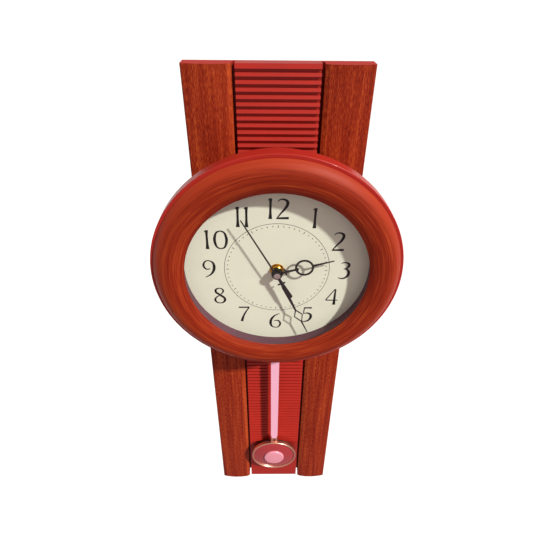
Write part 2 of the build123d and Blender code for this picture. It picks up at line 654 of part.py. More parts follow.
# The centre wheel turns on the minute cannon, which it drives through a slipping clutch
with BuildPart() as centre_wheel:
    gear(CENTRE_TEETH, CENTRE_MODULE, gap_phase(CENTRE_TEETH, 60), 48.0, 0.8, CENTRE)
    arbor(2.4, 47.6, 48.9, CENTRE)
    disc(CANNON_RADIUS + 0.05, 47.6, 48.9, mode=Mode.SUBTRACT)
centre_wheel.part.label = "centre_wheel"
export_step(centre_wheel.part, "parts/centre_wheel.step")

# ---------------------------------------------------------------- motion work
with BuildPart() as minute_cannon:
    arbor(CANNON_RADIUS, 47.5, 69.3, CENTRE)
    gear(CANNON_TEETH, MOTION_MODULE, -20, 50.3, 1.7, CENTRE)
    disc(CANNON_BORE, 47.5, 69.3, mode=Mode.SUBTRACT)
minute_cannon.part.label = "minute_cannon"
export_step(minute_cannon.part, "parts/minute_cannon.step")

with BuildPart() as motion_wheel:
    gear(MOTION_TEETH, MOTION_MODULE, gap_phase(MOTION_TEETH, 160), 50.5, 1.2, MOTION)
    gear(MOTION_PINION_TEETH, HOUR_MODULE, 160, 51.7, 2.6, MOTION)
    arbor(PIVOT_RADIUS, MID_PLATE_BACK, 57.1, MOTION)
motion_wheel.part.label = "motion_wheel"
export_step(motion_wheel.part, "parts/motion_wheel.step")

with BuildPart() as hour_wheel:
    gear(HOUR_TEETH, HOUR_MODULE, gap_phase(HOUR_TEETH, -20), 53.0, 0.8, CENTRE)
    arbor(HOUR_PIPE_RADIUS, 53.0, 67.2, CENTRE)
    disc(HOUR_PIPE_BORE, 53.0, 67.2, mode=Mode.SUBTRACT)
hour_wheel.part.label = "hour_wheel"
export_step(hour_wheel.part, "parts/hour_wheel.step")

with BuildPart() as setting_knob:
    gear(SETTING_TEETH, MOTION_MODULE, 160, 50.5, 1.2, SETTING)
    arbor(0.8, 38.6, 52.6, SETTING)
    arbor(PIVOT_RADIUS, 52.6, 57.1, SETTING)
    with BuildSketch(face_plane(35.4, SETTING[0], DIAL_Z + SETTING[1])) as grip:
        Circle(4.8)
        with PolarLocations(4.8, 16):
            Circle(0.5, mode=Mode.SUBTRACT)
    extrude(grip.sketch, amount=3.4)
setting_knob.part.label = "setting_knob"
export_step(setting_knob.part, "parts/setting_knob.step")

# ---------------------------------------------------------------- battery and contacts
BATTERY_END = 24.6


def along_x(radius, left, right, mode=Mode.ADD):
    """Round bar along X on the battery's axis."""
    with BuildSketch(Plane.YZ.offset(left)) as outline:
        with Locations((-BATTERY_DEPTH, BATTERY_Z)):
            Circle(radius)
    extrude(outline.sketch, amount=right - left, mode=mode)


with BuildPart() as battery:
    along_x(BATTERY_RADIUS, -BATTERY_END, BATTERY_END)
    along_x(2.7, BATTERY_END, BATTERY_END + 1.1)
battery.part.label = "battery"
export_step(battery.part, "parts/battery.step")

with BuildPart() as contact_plus:
    block(25.7, 26.2, BATTERY_Z - 5, BATTERY_Z + 5, 43, 56.0)
    block(26.2, inner_half, BATTERY_Z - 5, BATTERY_Z + 5, 55.5, 56.0)
contact_plus.part.label = "contact_plus"
export_step(contact_plus.part, "parts/contact_plus.step")

# Negative contact: a leaf with a conical spring, drawn as three shrinking rings and a tip
with BuildPart() as contact_minus:
    block(-inner_half, -27.9, BATTERY_Z - 5, BATTERY_Z + 5, 43, 56.0)
    for turn, radius in enumerate((4.2, 3.4, 2.6)):
        left = -27.9 + turn * 1.1
        along_x(radius, left, left + 1.1)
        along_x(radius - 0.9, left, left + 1.1, Mode.SUBTRACT)
    along_x(1.9, -27.9 + 3.1, -BATTERY_END)
contact_minus.part.label = "contact_minus"
export_step(contact_minus.part, "parts/contact_minus.step")

# ---------------------------------------------------------------- dial fixing
with BuildPart() as dial_washer:
    disc(14, HOUSING_FRONT, ledge_front)
    disc(4.1, HOUSING_FRONT, ledge_front, mode=Mode.SUBTRACT)
dial_washer.part.label = "dial_washer"
export_step(dial_washer.part, "parts/dial_washer.step")

with BuildPart() as nut_washer:
    disc(7.2, DIAL_FACE, 60.1)
    disc(4.1, DIAL_FACE, 60.1, mode=Mode.SUBTRACT)
nut_washer.part.label = "nut_washer"
export_step(nut_washer.part, "parts/nut_washer.step")

with BuildPart() as hand_nut:
    disc(5.8, 60.1, 63.4)
    disc(BUSHING_RADIUS, 60.1, 63.4, mode=Mode.SUBTRACT)
    chamfer(hand_nut.faces().sort_by(Axis.Y)[0].edges().sort_by(SortBy.RADIUS)[-1], 0.5)
    block(-7, 7, DIAL_Z - 0.8, DIAL_Z + 0.8, 62.4, 63.4, Mode.SUBTRACT)
hand_nut.part.label = "hand_nut"
export_step(hand_nut.part, "parts/hand_nut.step")

# ---------------------------------------------------------------- hands
HAND_THICKNESS = 0.5

with BuildPart() as hour_hand:
    with BuildSketch(hand_plane(HOUR_HAND_BACK, HOUR_ANGLE)) as hour_outline:
        Circle(5.6)
        with BuildLine():
            Polyline((-1.3, 0), (-1.1, 21), (1.1, 21), (1.3, 0), close=True)
        make_face()
        with Locations((0, 8.6)):
            SlotOverall(8.4, 1.7)
        with Locations((0, 27.6)):
            Circle(9.3)
            Circle(7.2, mode=Mode.SUBTRACT)
        with Locations((0, 20.0)):
            Circle(2.1)
        with BuildLine():
            Polyline((-1.2, 35.8), (-0.5, HOUR_LENGTH), (0.5, HOUR_LENGTH), (1.2, 35.8), close=True)
        make_face()
        Circle(HOUR_PIPE_RADIUS, mode=Mode.SUBTRACT)
    extrude(hour_outline.sketch, amount=HAND_THICKNESS)
    disc(3.5, 65.0, HOUR_HAND_BACK)
    disc(HOUR_PIPE_RADIUS, 65.0, HOUR_HAND_BACK, mode=Mode.SUBTRACT)
hour_hand.part.label = "hour_hand"
export_step(hour_hand.part, "parts/hour_hand.step")

with BuildPart() as minute_hand:
    with BuildSketch(hand_plane(MINUTE_HAND_BACK, MINUTE_ANGLE)) as minute_outline:
        Circle(5.2)
        with BuildLine():
            Polyline((-1.2, 0), (-1.2, 12), (-1.9, 17), (-1.0, 49), (1.0, 49), (1.9, 17), (1.2, 12),
                     (1.2, 0), close=True)
        make_face()
        with Locations((0, 11.2)):
            SlotOverall(8.4, 1.6)
        with BuildLine():
            Polyline((0, 47.2), (-5.0, 56.6), (0, 66.8), (5.0, 56.6), close=True)
        make_face()
        with BuildLine():
            Polyline((0, 50.0), (-3.8, 56.7), (0, 64.4), (3.8, 56.7), close=True)
        make_face(mode=Mode.SUBTRACT)
        with BuildLine():
            Polyline((-0.9, 65.4), (-0.45, MINUTE_LENGTH), (0.45, MINUTE_LENGTH), (0.9, 65.4), close=True)
        make_face()
        Circle(CANNON_RADIUS, mode=Mode.SUBTRACT)
    extrude(minute_outline.sketch, amount=HAND_THICKNESS)
minute_hand.part.label = "minute_hand"
export_step(minute_hand.part, "parts/minute_hand.step")

with BuildPart() as second_hand:
    with BuildSketch(hand_plane(SECOND_HAND_BACK, SECOND_ANGLE)) as second_outline:
        Circle(4.4)
        with BuildLine():
            Polyline((-0.9, 0), (-0.6, SECOND_LENGTH), (0.6, SECOND_LENGTH), (0.9, 0), close=True)
        make_face()
        with BuildLine():
            tail_end = -SECOND_TAIL + 2.2
            Line((-1.4, 0), (1.4, 0))
            Line((1.4, 0), (2.2, tail_end))
            ThreePointArc((2.2, tail_end), (0, -SECOND_TAIL), (-2.2, tail_end))
            Line((-2.2, tail_end), (-1.4, 0))
        make_face()
        Circle(ARBOR_RADIUS, mode=Mode.SUBTRACT)
    extrude(second_outline.sketch, amount=0.4)
second_hand.part.label = "second_hand"
export_step(second_hand.part, "parts/second_hand.step")

with BuildPart() as second_cap:
    with BuildSketch(turning_plane(DIAL_Z)) as cap_section:
        with BuildLine():
            Polyline((ARBOR_RADIUS, 70.8), (3.3, 70.8), (3.3, 71.3))
            dome(3.3, 71.3, 71.9)
            Polyline((0, 71.9), (0, 71.2), (ARBOR_RADIUS, 71.2), (ARBOR_RADIUS, 70.8))
        make_face()
    revolve(cap_section.sketch, axis=turning_axis(DIAL_Z))
second_cap.part.label = "second_cap"
export_step(second_cap.part, "parts/second_cap.step")

# ---------------------------------------------------------------- pendulum drive
with BuildPart() as drive_coil:
    disc(7.5, 51.4, HOUSING_CEILING, z=coil_centre)
    disc(2.6, 51.4, HOUSING_CEILING, z=coil_centre, mode=Mode.SUBTRACT)
drive_coil.part.label = "drive_coil"
export_step(drive_coil.part, "parts/drive_coil.step")

with BuildPart() as pivot_pin:
    disc(0.75, COVER_BACK + 0.4, 57.2, z=PIVOT_Z)
pivot_pin.part.label = "pivot_pin"
export_step(pivot_pin.part, "parts/pivot_pin.step")

with BuildPart() as swing_arm:
    disc(3.0, 41.6, 50.0, z=PIVOT_Z)
    with BuildSketch(face_plane(43.6)) as arm_outline:
        with BuildLine():
            Polyline((-2.6, PIVOT_Z), (-3.5, ARM_END_Z), (3.5, ARM_END_Z), (2.6, PIVOT_Z), close=True)
        make_face()
        with Locations((0, coil_centre)):
            Circle(4.8)
    extrude(arm_outline.sketch, amount=3.0)
    disc(0.80, 41.6, 50.0, z=PIVOT_Z, mode=Mode.SUBTRACT)
swing_arm.part.label = "swing_arm"
export_step(swing_arm.part, "parts/swing_arm.step")

with BuildPart() as drive_magnet:
    disc(4.2, 46.6, 50.2, z=coil_centre)
drive_magnet.part.label = "drive_magnet"
export_step(drive_magnet.part, "parts/drive_magnet.step")

# ---------------------------------------------------------------- pendulum
HANGER_DROP = 14.0

with BuildPart() as rod_hanger:
    block(-4, 4, ARM_END_Z - 1.5, ARM_END_Z + 6.0, 46.6, 48.1)
    block(-4, 4, ARM_END_Z - 1.5, ARM_END_Z, ROD_BACK - 1.4, 48.1)
    block(-4, 4, ARM_END_Z - HANGER_DROP, ARM_END_Z, ROD_BACK - 1.4, ROD_BACK)
rod_hanger.part.label = "rod_hanger"
export_step(rod_hanger.part, "parts/rod_hanger.step")

bob_top = BOB_Z + BOB_RADIUS
neck_top = bob_top + 15.0
with BuildPart() as pendulum_rod:
    with BuildSketch(face_plane(ROD_BACK)) as rod_outline:
        with BuildLine():
            half_top = ROD_TOP_WIDTH / 2
            half_low = ROD_LOW_WIDTH / 2
            taper_z = neck_top + 3.0
            Polyline(
                (-half_top, ARM_END_Z - 2.2), (-half_low, taper_z), (-3.2, neck_top - 4.0),
                (3.2, neck_top - 4.0), (half_low, taper_z), (half_top, ARM_END_Z - 2.2), close=True,
            )
        make_face()
    extrude(rod_outline.sketch, amount=ROD_THICKNESS)
pendulum_rod.part.label = "pendulum_rod"
export_step(pendulum_rod.part, "parts/pendulum_rod.step")

# Gold clip between the rod and the bob, with a round eye
with BuildPart() as rod_neck:
    with BuildSketch(face_plane(ROD_BACK - 2.6)) as neck_outline:
        with BuildLine():
            Polyline((-3.0, neck_top), (-4.6, neck_top - 5.5), (-4.6, bob_top - 0.5),
                     (4.6, bob_top - 0.5), (4.6, neck_top - 5.5), (3.0, neck_top), close=True)
        make_face()
        with Locations((0, bob_top + 5.0)):
            Circle(2.3, mode=Mode.SUBTRACT)
    extrude(neck_outline.sketch, amount=2.6)
    disc(BOB_RADIUS, 20, 30, z=BOB_Z, mode=Mode.SUBTRACT)
rod_neck.part.label = "rod_neck"
export_step(rod_neck.part, "parts/rod_neck.step")

rim_inner = BOB_RADIUS - 3.0
with BuildPart() as bob_rim:
    with BuildSketch(turning_plane(BOB_Z)) as rim_section:
        with BuildLine():
            Polyline((rim_inner, 22.9), (BOB_RADIUS - 0.6, 22.9), (BOB_RADIUS, 23.5), (BOB_RADIUS, 27.6))
            ThreePointArc((BOB_RADIUS, 27.6), (BOB_RADIUS - 0.6, 28.5), (BOB_RADIUS - 1.5, BOB_RIM_FRONT))
            ThreePointArc(
                (BOB_RADIUS - 1.5, BOB_RIM_FRONT), (BOB_RADIUS - 2.5, 28.2), (rim_inner, 27.2)
            )
            Line((rim_inner, 27.2), (rim_inner, 22.9))
        make_face()
    revolve(rim_section.sketch, axis=turning_axis(BOB_Z))
bob_rim.part.label = "bob_rim"
export_step(bob_rim.part, "parts/bob_rim.step")

with BuildPart() as bob_face:
    with BuildSketch(turning_plane(BOB_Z)) as face_section:
        with BuildLine():
            Line((0, 25.2), (rim_inner, 25.2))
            Line((rim_inner, 25.2), (rim_inner, 26.6))
            ThreePointArc((rim_inner, 26.6), (24, 28.4), (BOB_DISC_RADIUS, 29.4))
            Line((BOB_DISC_RADIUS, 29.4), (BOB_DISC_RADIUS, 28.0))
            Line((BOB_DISC_RADIUS, 28.0), (0, 28.0))
            Line((0, 28.0), (0, 25.2))
        make_face()
    revolve(face_section.sketch, axis=turning_axis(BOB_Z))
bob_face.part.label = "bob_face"
export_step(bob_face.part, "parts/bob_face.step")

with BuildPart() as bob_disc:
    with BuildSketch(turning_plane(BOB_Z)) as disc_section:
        with BuildLine():
            Line((0, 28.0), (BOB_DISC_RADIUS, 28.0))
            Line((BOB_DISC_RADIUS, 28.0), (BOB_DISC_RADIUS, 30.8))
            ThreePointArc((BOB_DISC_RADIUS, 30.8), (14.4, 31.7), (13.2, 32.0))
            dome(13.2, 32.0, 32.5)
            Line((0, 32.5), (0, 28.0))
        make_face()
    revolve(disc_section.sketch, axis=turning_axis(BOB_Z))
bob_disc.part.label = "bob_disc"
export_step(bob_disc.part, "parts/bob_disc.step")

# Plastic back of the bob: a shallow cup that the rim is pressed over
with BuildPart() as bob_back:
    disc(BOB_RADIUS - 0.8, BOB_BACK, 22.9, z=BOB_Z)
    disc(rim_inner, 22.9, 25.2, z=BOB_Z)
    disc(rim_inner - 1.6, 22.9, 25.2, z=BOB_Z, mode=Mode.SUBTRACT)
bob_back.part.label = "bob_back"
export_step(bob_back.part, "parts/bob_back.step")
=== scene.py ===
import math

import bmesh
import bpy
from mathutils import Matrix, Vector
from mathutils.geometry import delaunay_2d_cdt


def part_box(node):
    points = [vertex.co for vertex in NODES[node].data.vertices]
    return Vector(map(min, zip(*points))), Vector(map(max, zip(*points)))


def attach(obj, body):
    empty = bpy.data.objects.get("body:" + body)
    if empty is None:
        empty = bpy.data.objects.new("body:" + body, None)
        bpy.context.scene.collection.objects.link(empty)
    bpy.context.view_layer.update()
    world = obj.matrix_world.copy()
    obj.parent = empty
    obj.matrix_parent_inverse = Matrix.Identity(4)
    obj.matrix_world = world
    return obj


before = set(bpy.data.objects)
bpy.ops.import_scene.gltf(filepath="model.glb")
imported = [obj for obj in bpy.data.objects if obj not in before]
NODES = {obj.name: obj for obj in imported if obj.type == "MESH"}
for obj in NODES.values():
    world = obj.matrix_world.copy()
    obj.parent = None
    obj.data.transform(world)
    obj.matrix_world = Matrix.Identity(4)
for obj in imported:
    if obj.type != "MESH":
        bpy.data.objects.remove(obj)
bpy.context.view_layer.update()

bl_info = {
    "name": "Pendulum wall clock",
    "version": (1, 0, 0),
    "blender": (4, 5, 0),
    "location": "3D View > Sidebar > Wall clock",
    "description": "Finishes, dial print and studio for the packed pendulum wall clock",
    "category": "Object",
}

MM = 0.001

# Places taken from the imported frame
DIAL_LOW, DIAL_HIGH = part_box("dial_plate")
DIAL_CENTRE = Vector((0.0, DIAL_LOW.y, (DIAL_LOW.z + DIAL_HIGH.z) / 2))
BOARD_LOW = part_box("back_board")[0]
BATTERY_LOW, BATTERY_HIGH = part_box("battery")

# The bezel, in millimetres from the hand axis: its middle, and where the even tone painted over its outer
# slope begins and is fullest. It is painted shade for the band where the grain doesn't show
BEZEL_MIDDLE = 105.0
PAINTED_SHADE_FROM, PAINTED_SHADE_FULL = 111.0, 114.0
# How much of each layer of the printed grain goes into its tone
BROAD_SHARE, STREAK_SHARE, FLECK_SHARE = 0.5, 0.8, 1.2
# Sides of the thin minute circle
CIRCLE_SIDES = 180
# Studio, in metres: how far the floor reaches, and the nearest and farthest that the camera sees
FLOOR_REACH = 1500.0
NEAR_CLIP, FAR_CLIP = 0.01, 4000.0
SENSOR_WIDTH = 36.0

# Inputs and outputs of the Mix node when it mixes colours, and of the Map Range node
MIX_FACTOR, MIX_FIRST, MIX_SECOND, MIX_COLOUR = 0, 6, 7, 2
RANGE_VALUE, RANGE_FROM_LOW, RANGE_FROM_HIGH, RANGE_TO_LOW, RANGE_TO_HIGH = 0, 1, 2, 3, 4


# ---------------------------------------------------------------- colours and settings
def linear(code):
    """Linear colour with full alpha from an sRGB hex code."""
    channels = [int(code[i : i + 2], 16) / 255 for i in (1, 3, 5)]
    curved = [c / 12.92 if c <= 0.04045 else ((c + 0.055) / 1.055) ** 2.4 for c in channels]
    return (*curved, 1.0)


def colour(name, description, code):
    """A colour property whose default is an sRGB hex code."""
    return bpy.props.FloatVectorProperty(
        name=name, description=description, default=linear(code), size=4, min=0.0, max=1.0, subtype="COLOR"
    )


def length(name, description, millimetres):
    """A length property whose default is given in millimetres."""
    return bpy.props.FloatProperty(
        name=name, description=description, default=millimetres * MM, unit="LENGTH", precision=5
    )


class CaseSettings(bpy.types.PropertyGroup):
    """Colours and grain sizes of the board, the stiles, the drum and the bezel."""

    red: colour("Red plastic", "Moulded board, slats and drum", "#A02319")
    foil_dark: colour("Foil dark", "Darkest streaks of the printed wood foil", "#5E1004")
    foil_mid: colour("Foil middle", "Main tone of the printed wood foil", "#86260F")
    foil_light: colour("Foil light", "Lightest streaks of the printed wood foil", "#B04A20")
    # painted shade: an even tone painted over the ring's outer slope, where shade hides the grain
    foil_painted_shade: colour("Foil plain", "Even tone left where the foil is drawn over the ring's edge", "#A0341A")
    fleck_width: length("Fleck width", "Width of one printed fleck of grain", 0.7)
    fleck_length: length("Fleck length", "Length of one printed fleck of grain on the board", 5.0)
    ring_fleck_length: length("Ring fleck length", "Length of one printed fleck on the bezel", 28.0)
    streak_width: length("Streak width", "Width of the darker and lighter streaks", 2.4)
    streak_length: length("Streak length", "Length of the darker and lighter streaks", 90.0)
    # the painted highlight on the stiles' inner bevels reaches this far from the middle
    bevel_edge: length("Bevel edge", "Distance from the middle at which a stile's inner bevel ends", 44.2)
    spacer: colour("Spacer", "Ring between the dial and the glass", "#5E3E48")


class DialSettings(bpy.types.PropertyGroup):
    """Sizes and colours of the dial and of what is printed on it."""

    ground: colour("Ground", "Lacquered ground of the dial", "#E6E5D2")
    ink: colour("Ink", "Printing ink of the numerals", "#060605")
    numeral_radius: length("Numeral radius", "Distance of each numeral's middle from the hand axis", 67.1)
    numeral_height: length("Numeral height", "Height of a numeral", 20.8)
    circle_radius: length("Circle radius", "Radius of the thin minute circle", 52.0)
    circle_line: length("Circle line", "Width of the thin minute circle", 0.44)
    mark_radius: length("Mark radius", "Radius on which the minute dots and hour dashes lie", 49.0)
    dash_length: length("Dash length", "Length of an hour dash", 2.6)
    dash_width: length("Dash width", "Width of an hour dash", 0.6)
    dot_radius: length("Dot radius", "Radius of a minute dot", 0.55)
    ink_thickness: length("Ink thickness", "How far the ink stands above the ground", 0.04)
    print_turn: bpy.props.FloatProperty(
        name="Print turn", description="How far the dial sits turned clockwise in its seat",
        default=math.radians(0.84), subtype="ANGLE", unit="ROTATION",
    )


class WorksSettings(bpy.types.PropertyGroup):
    """Colours of the hands, the movement and the pendulum."""

    enamel: colour("Hand enamel", "Black enamel of the three hands", "#090909")
    brass: colour("Brass", "Turned brass nut and washer", "#D9A848")
    gold: colour("Rose gold plate", "Plated bob rim and neck clip", "#F4BEA4")
    # painted reflection: the pink of the rod and of the disc stands for pink surroundings mirrored in
    # metallised gold strip
    rod_painted_pink: colour("Rose lacquer", "Pearl lacquer of the rod", "#ECB0C6")
    disc_painted_pink: colour("Disc lacquer", "Pearl lacquer of the disc on the bob", "#DE919F")
    lacquer: colour("Bob lacquer", "Deep red face of the bob", "#9E2528")
    acetal: colour("Acetal", "Wheels and other natural white mouldings", "#E4E1D6")
    black: colour("Black plastic", "Movement case and bob back", "#17171A")
    knob: colour("Setting knob", "Knob that sets the hands", "#B4382A")


class StudioSettings(bpy.types.PropertyGroup):
    """The camera, the light and the floor."""

    camera_place: bpy.props.FloatVectorProperty(
        name="Camera place", description="Position of the camera in the clock's frame",
        default=(-0.0073, -0.40935, 0.10498), subtype="TRANSLATION", unit="LENGTH", precision=5,
    )
    elevation: bpy.props.FloatProperty(
        name="Elevation", description="How steeply the camera looks down", default=math.radians(35.3),
        subtype="ANGLE", unit="ROTATION",
    )
    azimuth: bpy.props.FloatProperty(
        name="Azimuth", description="How far the camera stands to the right", default=math.radians(-0.886),
        subtype="ANGLE", unit="ROTATION",
    )
    roll: bpy.props.FloatProperty(
        name="Roll", description="Turn of the camera about its own axis", default=math.radians(0.598),
        subtype="ANGLE", unit="ROTATION",
    )
    lens: bpy.props.FloatProperty(
        name="Lens", description="Focal length in millimetres on a 36 mm sensor", default=28.145, min=1.0
    )
    rise: bpy.props.FloatProperty(
        name="Rise", description="Upward shift of the lens, as a share of the sensor", default=-0.00545
    )
    key_direction: bpy.props.FloatVectorProperty(
        name="Key direction", description="Direction from the clock towards the key light",
        default=(1.2, -1.0, 1.37), subtype="DIRECTION",
    )
    key_strength: bpy.props.FloatProperty(
        name="Key strength", description="Strength of the key light", default=4.6, min=0.0
    )
    key_spread: bpy.props.FloatProperty(
        name="Key spread", description="Apparent width of the key light, which softens its shadows",
        default=math.radians(3.2), subtype="ANGLE", unit="ROTATION",
    )
    fill_strength: bpy.props.FloatProperty(
        name="Fill strength", description="Strength of the even fill light", default=0.58, min=0.0
    )
    floor: colour("Floor", "Pale studio floor", "#E6E6E6")
    floor_front: length("Floor front", "Where the floor begins behind the wall plane", 2000.0)
    under_light: colour("Light from below", "Soft fill from below the clock", "#D8B2BA")
    over_light: colour("Light from above", "Soft fill from above the clock", "#F6F0EC")
    floor_drop: length("Floor drop", "Height of the clock's foot above the floor", 12000.0)


# ---------------------------------------------------------------- material tools
def add(tree, kind, inputs=None, stops=None, **settings):
    """Adds one node, sets its options and inputs, and links each input that is given as a socket."""
    node = tree.nodes.new("ShaderNode" + kind)
    for name, value in settings.items():
        setattr(node, name, value)
    for key, value in (inputs or {}).items():
        if isinstance(value, bpy.types.NodeSocket):
            tree.links.new(value, node.inputs[key])
        else:
            node.inputs[key].default_value = value
    if stops:
        ramp = node.color_ramp.elements
        ramp.remove(ramp[-1])
        ramp[0].position, ramp[0].color = stops[0]
        for position, shade in stops[1:]:
            ramp.new(position).color = shade
    return node


def start(name):
    """A new material, with its tree, its shader and its coordinates in metres."""
    material = bpy.data.materials.new(name)
    material.use_nodes = True
    tree = material.node_tree
    return material, tree, tree.nodes["Principled BSDF"], add(tree, "TexCoord").outputs["Object"]


def dress(tree, shader, **sockets):
    """Sets or links the shader's own sockets, whose names are given with underscores."""
    for name, value in sockets.items():
        socket = shader.inputs[name.replace("_", " ")]
        if isinstance(value, bpy.types.NodeSocket):
            tree.links.new(value, socket)
        else:
            socket.default_value = value


def per_metre(*sizes_mm):
    """How many cells of each size in millimetres fit in a metre, which is a pattern's scale."""
    counts = tuple(1000.0 / size for size in sizes_mm)
    return counts[0] if len(counts) == 1 else counts


def shaded(shade, share):
    """A colour made darker or lighter by a share of itself."""
    return (*[min(1.0, channel * share) for channel in shade[:3]], 1.0)


def around(tree, place, centre, radius_mm):
    """Coordinates round an axis that faces the viewer: radius, then two that run round the ring."""
    radius = radius_mm * MM
    spoke = add(tree, "VectorMath", {0: place, 1: centre}, operation="SUBTRACT").outputs[0]
    flat = add(tree, "VectorMath", {0: spoke, 1: (1, 0, 1)}, operation="MULTIPLY").outputs[0]
    reach = add(tree, "VectorMath", {0: flat}, operation="LENGTH").outputs["Value"]
    unit = add(tree, "VectorMath", {0: flat}, operation="NORMALIZE").outputs[0]
    ring = add(tree, "VectorMath", {0: unit, 1: (radius,) * 3}, operation="MULTIPLY").outputs[0]
    turn = add(tree, "SeparateXYZ", {0: ring})
    return add(tree, "CombineXYZ", {0: reach, 1: turn.outputs["X"], 2: turn.outputs["Z"]}).outputs[0]


def along_board(tree, place):
    """Coordinates of foil laid along the board: across the grain, then along it."""
    parts = add(tree, "SeparateXYZ", {0: place})
    across = add(tree, "Math", {0: parts.outputs["X"], 1: parts.outputs["Y"]}, operation="ADD")
    return add(tree, "CombineXYZ", {0: across.outputs[0], 1: parts.outputs["Z"]}).outputs[0]


def cells(tree, place, across_mm, along_mm, detail, roughness=0.5):
    """Noise whose cells are long along the grain: the factor of the noise."""
    scale = per_metre(across_mm, along_mm, along_mm)
    stretched = add(tree, "VectorMath", {0: place, 1: scale}, operation="MULTIPLY").outputs[0]
    return add(
        tree, "TexNoise", {"Vector": stretched, "Scale": 1.0, "Detail": detail, "Roughness": roughness}
    ).outputs[0]


# ---------------------------------------------------------------- materials of the case
def wood_foil(name, settings, ring):
    """Wood-grain foil, printed and hot-pressed on ABS: red-brown streaks and short dark flecks under a
    satin lacquer. Ends and backs, where the foil stops, show the plain red plastic."""
    material, tree, shader, place = start(name)
    grain = around(tree, place, DIAL_CENTRE, BEZEL_MIDDLE) if ring else along_board(tree, place)
    fleck_length = settings.ring_fleck_length if ring else settings.fleck_length
    # the print on the ring is finer than that on the board, and has less contrast
    fineness = 0.55 if ring else 1.0
    darkest, lightest = (0.82, 1.72) if ring else (0.90, 1.60)
    fleck_width = fineness * settings.fleck_width / MM
    streak_width = fineness * settings.streak_width / MM
    streak_length = settings.streak_length / MM
    broad = cells(tree, grain, streak_width * 4, streak_length * 2, 1.0)
    streak = cells(tree, grain, streak_width, streak_length, 3.0, 0.6)
    # real pores are about 0.3 mm wide; they are drawn coarser so that they show
    fleck = cells(tree, grain, fleck_width, fleck_length / MM, 2.0, 0.6)
    tone = add(tree, "Math", {0: broad, 1: BROAD_SHARE, 2: 0.0}, operation="MULTIPLY_ADD").outputs[0]
    tone = add(tree, "Math", {0: streak, 1: STREAK_SHARE, 2: tone}, operation="MULTIPLY_ADD").outputs[0]
    tone = add(tree, "Math", {0: fleck, 1: FLECK_SHARE, 2: tone}, operation="MULTIPLY_ADD").outputs[0]
    reach = add(tree, "SeparateXYZ", {0: grain if ring else place}).outputs["X"]
    if ring:
        pale = {
            RANGE_FROM_LOW: PAINTED_SHADE_FROM * MM, RANGE_FROM_HIGH: PAINTED_SHADE_FULL * MM,
            RANGE_TO_LOW: 0.0, RANGE_TO_HIGH: 0.7,
        }
    else:
        reach = add(tree, "Math", {0: reach}, operation="ABSOLUTE").outputs[0]
        pale = {
            RANGE_FROM_LOW: settings.bevel_edge - MM, RANGE_FROM_HIGH: settings.bevel_edge + MM,
            RANGE_TO_LOW: 0.16, RANGE_TO_HIGH: 0.0,
        }
    # painted light on the foil: the stiles' inner bevels are painted paler, a painted highlight for the light
    # they catch, and the ring's outer slope fades to an even plain tone, painted shade for the band where
    # shade hides the grain
    painted_light_band = add(tree, "MapRange", {RANGE_VALUE: reach, **pale}).outputs[0]
    if not ring:
        tone = add(tree, "Math", {0: tone, 1: painted_light_band}, operation="ADD").outputs[0]
    tone = add(
        tree, "MapRange",
        {
            RANGE_VALUE: tone, RANGE_FROM_LOW: darkest, RANGE_FROM_HIGH: lightest,
            RANGE_TO_LOW: 0.0, RANGE_TO_HIGH: 1.0,
        },
    ).outputs[0]
    stops = [
        (0.0, tuple(settings.foil_dark)), (0.5, tuple(settings.foil_mid)), (1.0, tuple(settings.foil_light)),
    ]
    wood = add(tree, "ValToRGB", {0: tone}, stops=stops).outputs[0]
    normal = add(tree, "SeparateXYZ", {0: add(tree, "NewGeometry").outputs["Normal"]})
    if ring:
        bare = add(tree, "Math", {0: normal.outputs["Y"], 1: 0.3}, operation="GREATER_THAN").outputs[0]
        # painted shade: the outer slope fades to the even plain tone, where shade hides the grain
        wood = add(
            tree, "Mix", {MIX_FACTOR: painted_light_band, MIX_FIRST: wood, MIX_SECOND: tuple(settings.foil_painted_shade)},
            data_type="RGBA",
        ).outputs[MIX_COLOUR]
    else:
        end = add(tree, "Math", {0: normal.outputs["Z"]}, operation="ABSOLUTE").outputs[0]
        most = add(tree, "Math", {0: end, 1: normal.outputs["Y"]}, operation="MAXIMUM").outputs[0]
        bare = add(tree, "Math", {0: most, 1: 0.6}, operation="GREATER_THAN").outputs[0]
    skin = add(
        tree, "Mix", {MIX_FACTOR: bare, MIX_FIRST: wood, MIX_SECOND: tuple(settings.red)}, data_type="RGBA"
    ).outputs[MIX_COLOUR]
    gloss = add(
        tree, "MapRange", {RANGE_VALUE: fleck, RANGE_TO_LOW: 0.58, RANGE_TO_HIGH: 0.42}
    ).outputs[0]
    relief = add(tree, "Bump", {"Height": fleck, "Distance": 0.03 * MM, "Strength": 0.6}).outputs[0]
    dress(
        tree, shader, Base_Color=skin, Roughness=gloss, Normal=relief, IOR=1.49, Specular_IOR_Level=0.13
    )
    return material


